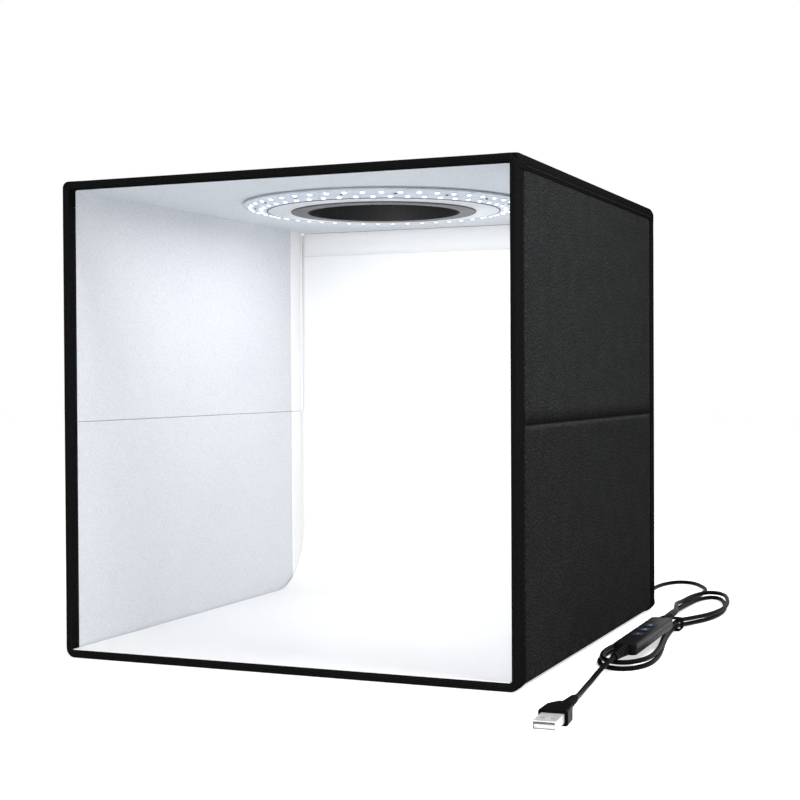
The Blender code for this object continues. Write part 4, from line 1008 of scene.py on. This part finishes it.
def make_closing_strips():
    """Thin cloth strips on the sides' rear edges, which reach behind to the sheet's edges. Above
    the left side's upper hinge the strip belongs to the roof."""
    low, crease, high = 0.0190, CREASE - 0.0004, CREASE + 0.0004
    for side, name, body, behind, reach, zs in (
            (-1, "left_lower", "left_lower", 0.0, 0.1447, lines(low, crease, 0.008)),
            (-1, "left_upper", "left_upper", 0.0, 0.1433, lines(high, 0.2825, 0.008)),
            (1, "right_lower", "right_lower", 0.0, 0.1447, lines(low, crease, 0.008)),
            (1, "right_upper", "right_upper", 0.0, 0.1440, lines(high, 0.2815, 0.008)),
            (-1, "roof_left", "roof", 0.00033, 0.1433, lines(0.2820, 0.2935, 0.004))):
        build = Build(name + "_closing_strip")
        for level, finish in ((0.00012, LOOP), (0.00027, CLOTH)):
            build.flat(lines(reach, 0.1496, 0.0014), X * side, (0, REAR + level + behind, 0), Z,
                       -Y, zs, 0.00005, -0.00008, finish)
        ride(build, body, "outer_cloth")


make_closing_strips()


# Back panel
def rounded_loop(half_x, half_z, r):
    """Points and outward normals round the corners of a rounded rectangle."""
    loop = []
    for sx, sz, start in ((1, 1, 0.0), (-1, 1, 90.0), (-1, -1, 180.0), (1, -1, 270.0)):
        for i in range(6):
            a = math.radians(start + 18.0 * i)
            out = Vector((math.cos(a), math.sin(a)))
            loop.append((Vector((sx * (half_x - r), sz * (half_z - r))) + out * r, out))
    return loop


def back_band(low, high):
    """Tape round all the edges of the back panel, over its outer face."""
    half_z, middle = (high - low) / 2, (low + high) / 2
    loop = rounded_loop(BACK_HALF, half_z, 0.006)
    dense = []
    for (p, n), (q, m) in zip(loop, loop[1:] + loop[:1]):
        steps = max(1, int(round((q - p).length / 0.008)))
        dense += [(p.lerp(q, i / steps), n.lerp(m, i / steps).normalized())
                  for i in range(steps)]
    edge = 0.0014
    outside = [(OUTER_LEG, 0.0), (OUTER_LEG * 0.55, 0.0), (edge + 0.0004, 0.0)]
    outside += [(edge - edge * math.sin(a), -edge + edge * math.cos(a)) for a in arc(3, 1)]
    outside += [(0.0, -THICK + 0.0006), (0.0006, -THICK)]
    inside = []
    for inset, level in reversed(outside):
        if level > -0.0001:
            inside.append((inset, level - TAPE))
        elif level < -THICK + 0.0001:
            inside.append((max(inset, TAPE), level + TAPE))
        else:
            inside.append((inset + TAPE, min(level, -TAPE)))
    sections = []
    for point, out in dense:
        section = []
        for inset, level in outside + inside:
            place = point - out * inset
            limit_x, limit_z = BACK_HALF - inset, half_z - inset
            section.append(Vector((max(-limit_x, min(limit_x, place.x)), BACK + THICK + level,
                                   max(-limit_z, min(limit_z, place.y)) + middle)))
        sections.append(section)
    return Build("back_tape").sweep(sections, TAPE_BLACK, closed=True)


def bent_rows(route, turn, pitch):
    """Rows along a bent line of (y, z); turn says to which side its normals point."""
    rows = []
    for i, (y, z) in enumerate(route):
        before, after = route[max(i - 1, 0)], route[min(i + 1, len(route) - 1)]
        way = Vector((0, after[0] - before[0], after[1] - before[1])).normalized()
        rows.append((Vector((0, y, z)), Vector((0, -way.z, way.y)) * turn, i * pitch))
    return rows


def make_back():
    ride(back_band(BACK_HINGE + 0.0002, BACK_TOP), "back_panel", "tape", "back_binding")
    half = BACK_HALF - CLOTH_INSET
    ride(panel("back_cloth", lines(-half, half, 0.0075, 0.0016), (0, BACK + THICK, 0), Z, Y,
               lines(BACK_HINGE + 0.0108, BACK_TOP - CLOTH_INSET, 0.0075, 0.0016),
               CLOTH_LEVEL, CLOTH_UNDER, CLOTH, rise=0.0006, shoulder=(0.004,) * 4, seed=81.0),
         "back_panel", "outer_cloth", "back_cover")
    half = BACK_HALF - 0.0008
    ride(panel("back_white_lining", lines(-half, half, 0.010, 0.0006), (0, BACK, 0), Z, -Y,
               lines(BACK_HINGE + 0.0008, BACK_TOP - 0.0008, 0.010, 0.0006), -0.0008,
               LINING_UNDER, SHEET, rims=ALL, seed=91.0, rough=0.00003, radius=0.0004),
         "back_panel", "white_sheet", "back_lining")
    # Hook strip that the backdrop hangs from
    low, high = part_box("hook_strip")
    ride(panel("hook_strip_tape", lines(-0.1444, 0.1442, 0.006, 0.0005), (0, low.y, 0), Z, -Y,
               lines(HOOK_LOW, high.z, 0.003, 0.0004), -0.00005, low.y - high.y, LOOP,
               lambda u, v: 0.00005 * noise.noise(Vector((u * 60, v * 60, 3.0))), rims=ALL,
               rough=0.0, radius=0.00035), "back_panel", "white_strip", "hook_strip")
    # Narrow flaps on the panel's sides, behind the sheet's edges
    for side, word, reach, top in ((-1, "left", 0.1448, 0.2915), (1, "right", 0.1441, 0.2830)):
        build = Build(word + "_side_flap")
        for us, y, zs in ((lines(0.1405, reach, 0.0015), 0.1603, (0.0130, HOOK_LOW - 0.0003)),
                          (lines(0.1432, reach, 0.0007), 0.1615, (HOOK_LOW - 0.0003, top))):
            build.flat(us, X * side, (0, y, 0), Z, -Y, lines(*zs, 0.008), 0.0, -0.0004, CLOTH)
        ride(build, "back_panel", "outer_cloth")
    # Folded strip on the panel's top edge, white inside and black outside
    xs = lines(-BACK_HALF + 0.0006, BACK_HALF - 0.0006, 0.010)
    fold = [(0.1595, 0.2920), (0.1595, 0.2930), (0.1597, 0.2934), (0.1602, 0.29365),
            (0.1610, 0.29372), (0.1630, 0.29372), (0.1646, 0.29372)]
    ride(Build("top_strip_white").skin(xs, X, bent_rows(fold, 1, 0.0015), 0.0, -0.0003, LOOP),
         "back_panel", "white_strip")
    ride(Build("top_strip_cloth").flat(xs, X, (0, 0, 0.29380), Y, Z, lines(0.1604, 0.1646, 0.0015),
                                       0.0002, 0.0, CLOTH), "back_panel", "outer_cloth")
    # Cloth hinge along the floor's rear edge
    hinge = [(0.1537, 0.0073), (0.1560, 0.0073), (0.1580, 0.0072), (0.1598, 0.0070),
             (0.1612, 0.0069), (0.1628, 0.0069), (0.1642, 0.0072), (0.1653, 0.0080),
             (0.1660, 0.0094), (0.1662, 0.0115), (0.1662, 0.0145), (0.1662, 0.0180)]
    xs = lines(-BACK_HALF + 0.001, BACK_HALF - 0.001, 0.010)
    blend(Build("back_hinge_cloth").skin(xs, X, bent_rows(hinge, -1, 0.0018), 0.0, -0.0004, CLOTH),
          "root", "back_panel", (0, 0.1572, 0.0070), (0, 0.1648, 0.0076), "outer_cloth",
          "floor_rear_spine")


make_back()


def make_backdrop():
    """White sheet: flat on the floor, one smooth sweep, then up to its strip."""
    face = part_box("hook_strip")[0].y - 0.0003
    radius, floor, top = 0.046, 0.0051, HOOK_LOW + 0.0035
    bend_y, bend_z = face - radius, floor + radius
    route = [(y, floor, 0.0, 1.0) for y in np.linspace(FRONT + 0.001, bend_y, 34)[:-1]]
    route += [(bend_y + radius * math.sin(a), bend_z - radius * math.cos(a), -math.sin(a),
               math.cos(a)) for a in arc(24)]
    route += [(face, z, -1.0, 0.0) for z in np.linspace(bend_z, top, 30)[1:]]
    rows, distance, last = [], 0.0, None
    for y, z, ny, nz in route:
        here = Vector((0, y, z))
        distance += (here - last).length if last else 0.0
        rows.append((here, Vector((0, ny, nz)), distance))
        last = here

    def level(u, v):
        # A stretch that lies flat, then a sheet that bows gently across its width
        hang = ease(v, 0.30, 0.42) * (1 - ease(v, 0.52, distance))
        return 0.0004 + hang * 0.0005 * (0.5 + 0.5 * noise.noise(Vector((u * 9, v * 7, 5.0))))

    sheet = Build("backdrop").skin(lines(-0.1447, 0.1442, 0.009, 0.0006), X, rows, level,
                                   lambda u, v: level(u, v) - 0.0004, SHEET)
    obj = blend(sheet, "root", "back_panel", (0, bend_y + 0.010, floor),
                (0, face, bend_z - 0.010), "white_sheet", "backdrop_sheet")
    # A row of grey stitches along the sheet's top edge, darker than the sheet: a seam that also
    # stands in as a painted shadow line under the hook strip
    build = Build("backdrop_seam_shadow_line")
    y, z = face - 0.0004, top - 0.0011
    stitches(build, (-0.1430, y, z), (0.1430, y, z), -Y, GREY_THREAD_SHADOW_LINE, 0.0030, 0.0026)
    ride(build, "back_panel", "white_sheet", sharp=60)


make_backdrop()


# Ring light
def turned(build, profile, material):
    """A closed profile of (radius, z) turned about the window's axis."""
    build.sweep([[Vector((r * math.cos(a), LIGHT_Y + r * math.sin(a), z)) for r, z in profile]
                 for a in circle(144)], material, closed=True)


def board_z(radius):
    share = (RING_OUTER - radius) / (RING_OUTER - RING_INNER)
    return ROOF_UNDER - (RING_DROP + share * RING_SLOPE)


def on_board(radius, angle, lift):
    """Place on the sloping light board, with x outward from the window's axis."""
    return (Matrix.Translation((0.0, LIGHT_Y, board_z(radius))) @ Matrix.Rotation(angle, 4, "Z")
            @ Matrix.Translation((radius, 0.0, 0.0))
            @ Matrix.Rotation(-math.atan2(RING_SLOPE, RING_OUTER - RING_INNER), 4, "Y")
            @ Matrix.Translation((0, 0, lift)))


def block(build, matrix, size, material, bevel):
    """A small box with rounded edges, placed by a matrix."""
    bm = bmesh.new()
    bmesh.ops.create_cube(bm, size=1.0, matrix=Matrix.Diagonal((*size, 1.0)))
    bmesh.ops.bevel(bm, geom=list(bm.edges), offset=bevel, segments=1, affect="EDGES")
    bm.verts.index_update()
    verts = [matrix @ v.co for v in bm.verts]
    faces = [[v.index for v in f.verts] for f in bm.faces]
    bm.free()
    build.add(verts, faces, [(v.x, v.y) for v in verts], material)


def dome(build, matrix, half_x, half_y, height, material):
    """A small lens that bulges downward."""
    build.sweep([[matrix @ Vector((half_x * math.cos(a) * math.cos(b),
                                   half_y * math.cos(a) * math.sin(b), -height * math.sin(a)))
                  for b in circle(12)] for a in arc(5)[:-1]], material)


def make_ring_light():
    build = Build("light_ring")
    inner, outer = board_z(0.0800), board_z(0.0955)
    turned(build, [(0.0800, inner), (0.0800, inner + 0.0010), (0.0955, outer + 0.0010),
                   (0.0955, outer)], BOARD_WHITE)
    for row, radius in enumerate((0.0915, 0.0841)):
        for i in range(48):
            angle = 2 * math.pi * (i + row / 2) / 48
            block(build, on_board(radius, angle, -0.0002), (0.0026, 0.0033, 0.0008), CHIP_BODY,
                  0.00015)
            dome(build, on_board(radius, angle, -0.0005), 0.0013, 0.0017, 0.0008, CHIP_FACE)
    # Small parts between the two rows
    for i in range(16):
        block(build, on_board(0.0878, 2 * math.pi * (i + 0.25) / 16, -0.00022),
              (0.0010, 0.0018, 0.0005), DARK_TRIM_AND_HOLE_SHADE, 0.0001)
    ride(build, "roof", "light_board", "light_board", sharp=50)
    # Trims at the ring's two edges
    build = Build("light_trims")
    for radius, finish in ((0.0961, PALE_TRIM), (0.0797, DARK_TRIM_AND_HOLE_SHADE)):
        z = board_z(min(radius, 0.0955)) - 0.0002
        profile = ((-4, 0), (4, 0), (5, 4), (4, 10), (-4, 10), (-5, 4))
        turned(build, [(radius + x * 0.0001, z + up * 0.0001) for x, up in profile], finish)
    ride(build, "roof", "flange", sharp=60)


make_ring_light()


# Window flap on the roof
def plate(name, node, body, slot, finish, grid, radius, inset=0.0, rims=ALL):
    """A thin cloth plate with rounded edges in a node's place; grid gives each way's line
    distance and rim."""
    low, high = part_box(node)
    xs = lines(low.x + inset, high.x - inset, *grid[0])
    ride(panel(name, xs, (0, 0, high.z), Y, Z, lines(low.y, high.y, *grid[1]), 0.0,
               low.z - high.z, finish, rims=rims, rough=0.0, radius=radius), body, slot, node)


def make_flap():
    for name, node, finish, slot in (("flap_lower_cloth", "flap_board", FLAP_UNDER, "flap"),
                                     ("flap_upper_cloth", "flap_cover", CLOTH, "outer_cloth")):
        low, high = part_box(node)
        plate(name, node, "window_flap", slot, finish, ((0.006, 0.0012), (0.006, 0.0012)),
              min((high.z - low.z) * 0.8, 0.0005))
    # Tape round the flap's three free edges
    low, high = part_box("flap_board")
    x, y0, y1, r = high.x, low.y, high.y, 0.006
    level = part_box("flap_cover")[1].z
    top, bottom = level + 0.0002, level - 0.0001
    path = ([Vector((-x, y)) for y in np.linspace(y1 - 0.001, y0 + r, 16)]
            + [Vector((-x + r - r * math.cos(a), y0 + r - r * math.sin(a))) for a in arc(5, 1)]
            + [Vector((t, y0)) for t in np.linspace(-x + 0.010, x - 0.010, 18)]
            + [Vector((x - r + r * math.sin(a), y0 + r - r * math.cos(a))) for a in arc(5)[:-1]]
            + [Vector((x, y)) for y in np.linspace(y0 + r, y1 - 0.001, 16)])
    centre = Vector((0.0, (y0 + y1) / 2))
    sections = []
    for i, point in enumerate(path):
        way = (path[min(i + 1, len(path) - 1)] - path[max(i - 1, 0)]).normalized()
        inward = Vector((-way.y, way.x))
        if inward.dot(centre - point) < 0:
            inward = -inward
        sections.append([Vector((*(point + inward * inset), z)) for inset, z in (
            (0.0002, bottom - 0.0002), (0.0002, top - 0.0001), (0.0005, top), (0.0050, top),
            (0.0053, bottom), (0.0050, bottom))])
    ride(Build("flap_edge_tape").sweep(sections, TAPE_BLACK), "window_flap", "tape")
    # Pull tab, a short folded ribbon, and the hinge strip
    plate("pull_tab_ribbon", "flap_pull_tab", "window_flap", "tape", TAPE_BLACK,
          ((0.002, 0.0004), (0.002, 0.0004)), 0.0003, 0.001, (1, 1, 1, 0))
    plate("flap_hinge_tape", "flap_hinge_strip", "roof", "tape", TAPE_BLACK,
          ((0.006, 0.0006), (0.002, 0.0012)), 0.0010)


make_flap()


# Tie, exit boot, button signs and the painted shade in the plug's holes
def make_tie():
    """A flat band with rounded corners round the hank's waist, ends overlapping on top."""
    low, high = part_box("cord_tie")
    wall, middle, half = 0.0006, (low + high) / 2, (high - low) / 2
    sections = []
    for point, _ in rounded_loop(half.x, half.z, 0.0022):
        inner = Vector((point.x * (1 - wall / half.x), point.y * (1 - wall / half.z)))
        ring = []
        for t, y in ((0.0, low.y + 0.0003), (0.5, low.y), (1.0, low.y + 0.0003),
                     (1.0, high.y - 0.0003), (0.5, high.y), (0.0, high.y - 0.0003)):
            place = inner.lerp(point, t)
            ring.append(Vector((middle.x + place.x, y, middle.z + place.y)))
        sections.append(ring)
    ride(Build("hank_tie_band").sweep(sections, TAPE_BLACK, closed=True), "root", "cord",
         "cord_tie")


def make_exit_boot():
    """A small bent boot where the cord leaves the roof's rear edge."""
    low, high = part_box("cord_exit_block")
    x, turn, level = DROP_TOP.x, 0.0030, high.z - 0.0030
    centre = Vector((x, DROP_TOP.y - turn, level - turn))
    path = [(Vector((x, y, level)), Y, 0.0021) for y in (low.y - 0.0006, low.y)]
    path += [(centre + Vector((0, math.sin(a), math.cos(a))) * turn,
              Vector((0, math.cos(a), -math.sin(a))), 0.0021 - 0.0001 * i / 8)
             for i, a in enumerate(arc(8))]
    # Ribs on its straight end
    path += [(Vector((x, DROP_TOP.y, centre.z - i * 0.0006)), -Z,
              0.0018 - 0.00001 * i + (0.00020 if i % 3 else 0.0)) for i in range(1, 12)]
    sections = [[place + X * radius * math.cos(a) + way.cross(X) * radius * math.sin(a)
                 for a in circle(20)] for place, way, radius in path]
    ride(Build("exit_boot").sweep(sections, CORD), "roof", "flange", "cord_exit_block", sharp=50)


def make_symbols():
    """Generic minus, power and plus signs on the three buttons."""
    for sign in ("minus", "power", "plus"):
        low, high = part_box("button_" + sign)
        centre = Vector(((low.x + high.x) / 2, (low.y + high.y) / 2, high.z - 0.00006))
        base = Matrix.Translation(centre) @ Matrix.Rotation(LEAD_TILT, 4, "X")
        build = Build(f"button_{sign}_sign")
        if sign == "power":
            sections = []
            for i in range(21):
                a = math.radians(80 + 280.0 * i / 20) + math.pi / 2
                sections.append([base @ Vector((r * math.cos(a), r * math.sin(a), z)) for r, z in (
                    (0.0012, -0.0001), (0.0012, 0.0001), (0.0017, 0.0001), (0.0017, -0.0001))])
            build.sweep(sections, SYMBOL)
            block(build, base @ Matrix.Translation((0, 0.0013, 0)), (0.0005, 0.0016, 0.0002),
                  SYMBOL, 0.00004)
        else:
            block(build, base, (0.0006, 0.0030, 0.0002), SYMBOL, 0.00004)
        if sign == "plus":
            block(build, base, (0.0030, 0.0006, 0.0002), SYMBOL, 0.00004)
        ride(build, sign + "_key", "button")


def make_plug_hole_shade():
    """Dark plates under the two windows in the plug's metal shell, as painted shade inside the
    holes.
    """
    place = Matrix.Translation(PLUG_START) @ Matrix.Rotation(PLUG_TURN, 4, "Z")
    build = Build("plug_hole_shade")
    # Painted shade: a dark plate just under each window
    for side in (-1, 1):
        block(build, place @ Matrix.Translation((side * 0.00260, 0.05680, 0.00172)),
              (0.0028, 0.0028, 0.0002), DARK_TRIM_AND_HOLE_SHADE, 0.00004)
    ride(build, "root", "cord")


make_tie()
make_exit_boot()
make_symbols()
make_plug_hole_shade()

# Finishes of the carried-over solids, and soft edges on the moulded ones
boards = [name for name in nodes if name.endswith("_board")
          and name not in ("light_board", "flap_board", "dimmer_board")]
for finish, names in (
        (LINING, ["light_carrier"]), (FLANGE, ["window_flange"]), (FOAM, ["inner_lead"]),
        (DIMMER, ["dimmer_lower_shell", "dimmer_upper_shell"]), (CIRCUIT, ["dimmer_board"]),
        (BUTTON, ["button_minus", "button_power", "button_plus"]),
        (CORD, ["dimmer_far_boot", "dimmer_near_boot", "plug_overmold"]),
        (PLUG_METAL, ["plug_shell"]), (TONGUE, ["plug_tongue"]), (STIFFENER, boards)):
    for name in names:
        node = nodes[name]
        node.data.materials.clear()
        node.data.materials.append(finish)
        if finish in (DIMMER, BUTTON, PLUG_METAL) or name == "plug_overmold":
            bevel = node.modifiers.new("soft edges", "BEVEL")
            bevel.width, bevel.segments = 0.0002, 2
            bevel.limit_method, bevel.angle_limit = "ANGLE", math.radians(35)


# Stage: a pale floor, soft lamps and a white surround
def seen_directly(tree):
    """1 for the rays that show the surround itself: to the camera, in gloss and through glass."""
    rays = add_node(tree, "LightPath").outputs
    others = add_node(tree, "Math", {0: rays["Is Glossy Ray"], 1: rays["Is Transmission Ray"]},
                      operation="MAXIMUM").outputs[0]
    return add_node(tree, "Math", {0: rays["Is Camera Ray"], 1: others},
                    operation="MAXIMUM").outputs[0]


def make_floor():
    size, glow_strength = 6.0, 0.60
    n = Nodes("floor_finish", grey(0.80), 0.9, textured=False, Specular_IOR_Level=0.1)
    shown = n.math("MULTIPLY", seen_directly(n.tree), glow_strength)
    glow = n.node("Emission", {"Strength": shown})
    both = n.node("AddShader", {0: n.shader.outputs[0], 1: glow.outputs[0]})
    output = next(node for node in n.tree.nodes if node.type == "OUTPUT_MATERIAL")
    feed(n.tree, output.inputs["Surface"], both.outputs[0])
    corners = [(-size, -size, 0), (size, -size, 0), (size, size, 0), (-size, size, 0)]
    floor = Build("floor_plane").add(corners, [(0, 1, 2, 3)], [(0, 0), (1, 0), (1, 1), (0, 1)],
                                     n.material)
    floor.done()


def make_world():
    lit, shown = 0.46, 1.0
    world = bpy.data.worlds.new("world")
    bpy.context.scene.world = world
    world.use_nodes = True
    tree = world.node_tree
    tree.nodes.clear()
    output = add_node(tree, "OutputWorld")
    lights = [add_node(tree, "Background", {"Color": grey(1.0), "Strength": strength}).outputs[0]
              for strength in (lit, shown)]
    mix = add_node(tree, "MixShader", {0: seen_directly(tree), 1: lights[0], 2: lights[1]})
    feed(tree, output.inputs["Surface"], mix.outputs[0])


def make_lamps():
    for name, place, target, size, power in (
            ("front_lamp", (0.30, -1.6, 0.75), (0.0, 0.0, 0.10), (1.2, 1.0), 9.0),
            ("low_lamp", (0.10, -1.7, 0.13), (0.0, 0.15, 0.22), (1.2, 0.6), 7.4),
            ("side_lamp", (0.52, -0.16, 0.58), (0.15, -0.12, 0.20), (0.22, 0.22), 3.4),
            ("top_lamp", (0.0, 0.3, 1.7), (0.0, 0.0, 0.0), (1.4, 1.4), 6.0),
            ("tent_lamp", (0.0, LIGHT_Y, 0.2876), (0.0, LIGHT_Y, 0.0), (0.18, 0.18), 0.32),
            ("sweep_lamp", (0.0, 0.0, 0.250), (0.0, 0.16, 0.285), (0.13, 0.04), 0.036)):
        data = bpy.data.lights.new(name, "AREA")
        data.shape = "RECTANGLE"
        data.size, data.size_y = size
        data.energy = power
        obj = in_scene(name, data)
        obj.location = place
        way = Vector(target) - Vector(place)
        obj.rotation_euler = way.to_track_quat("-Z", "Y").to_euler()


make_floor()
make_world()
make_lamps()
bpy.context.scene.view_settings.view_transform = "Standard"
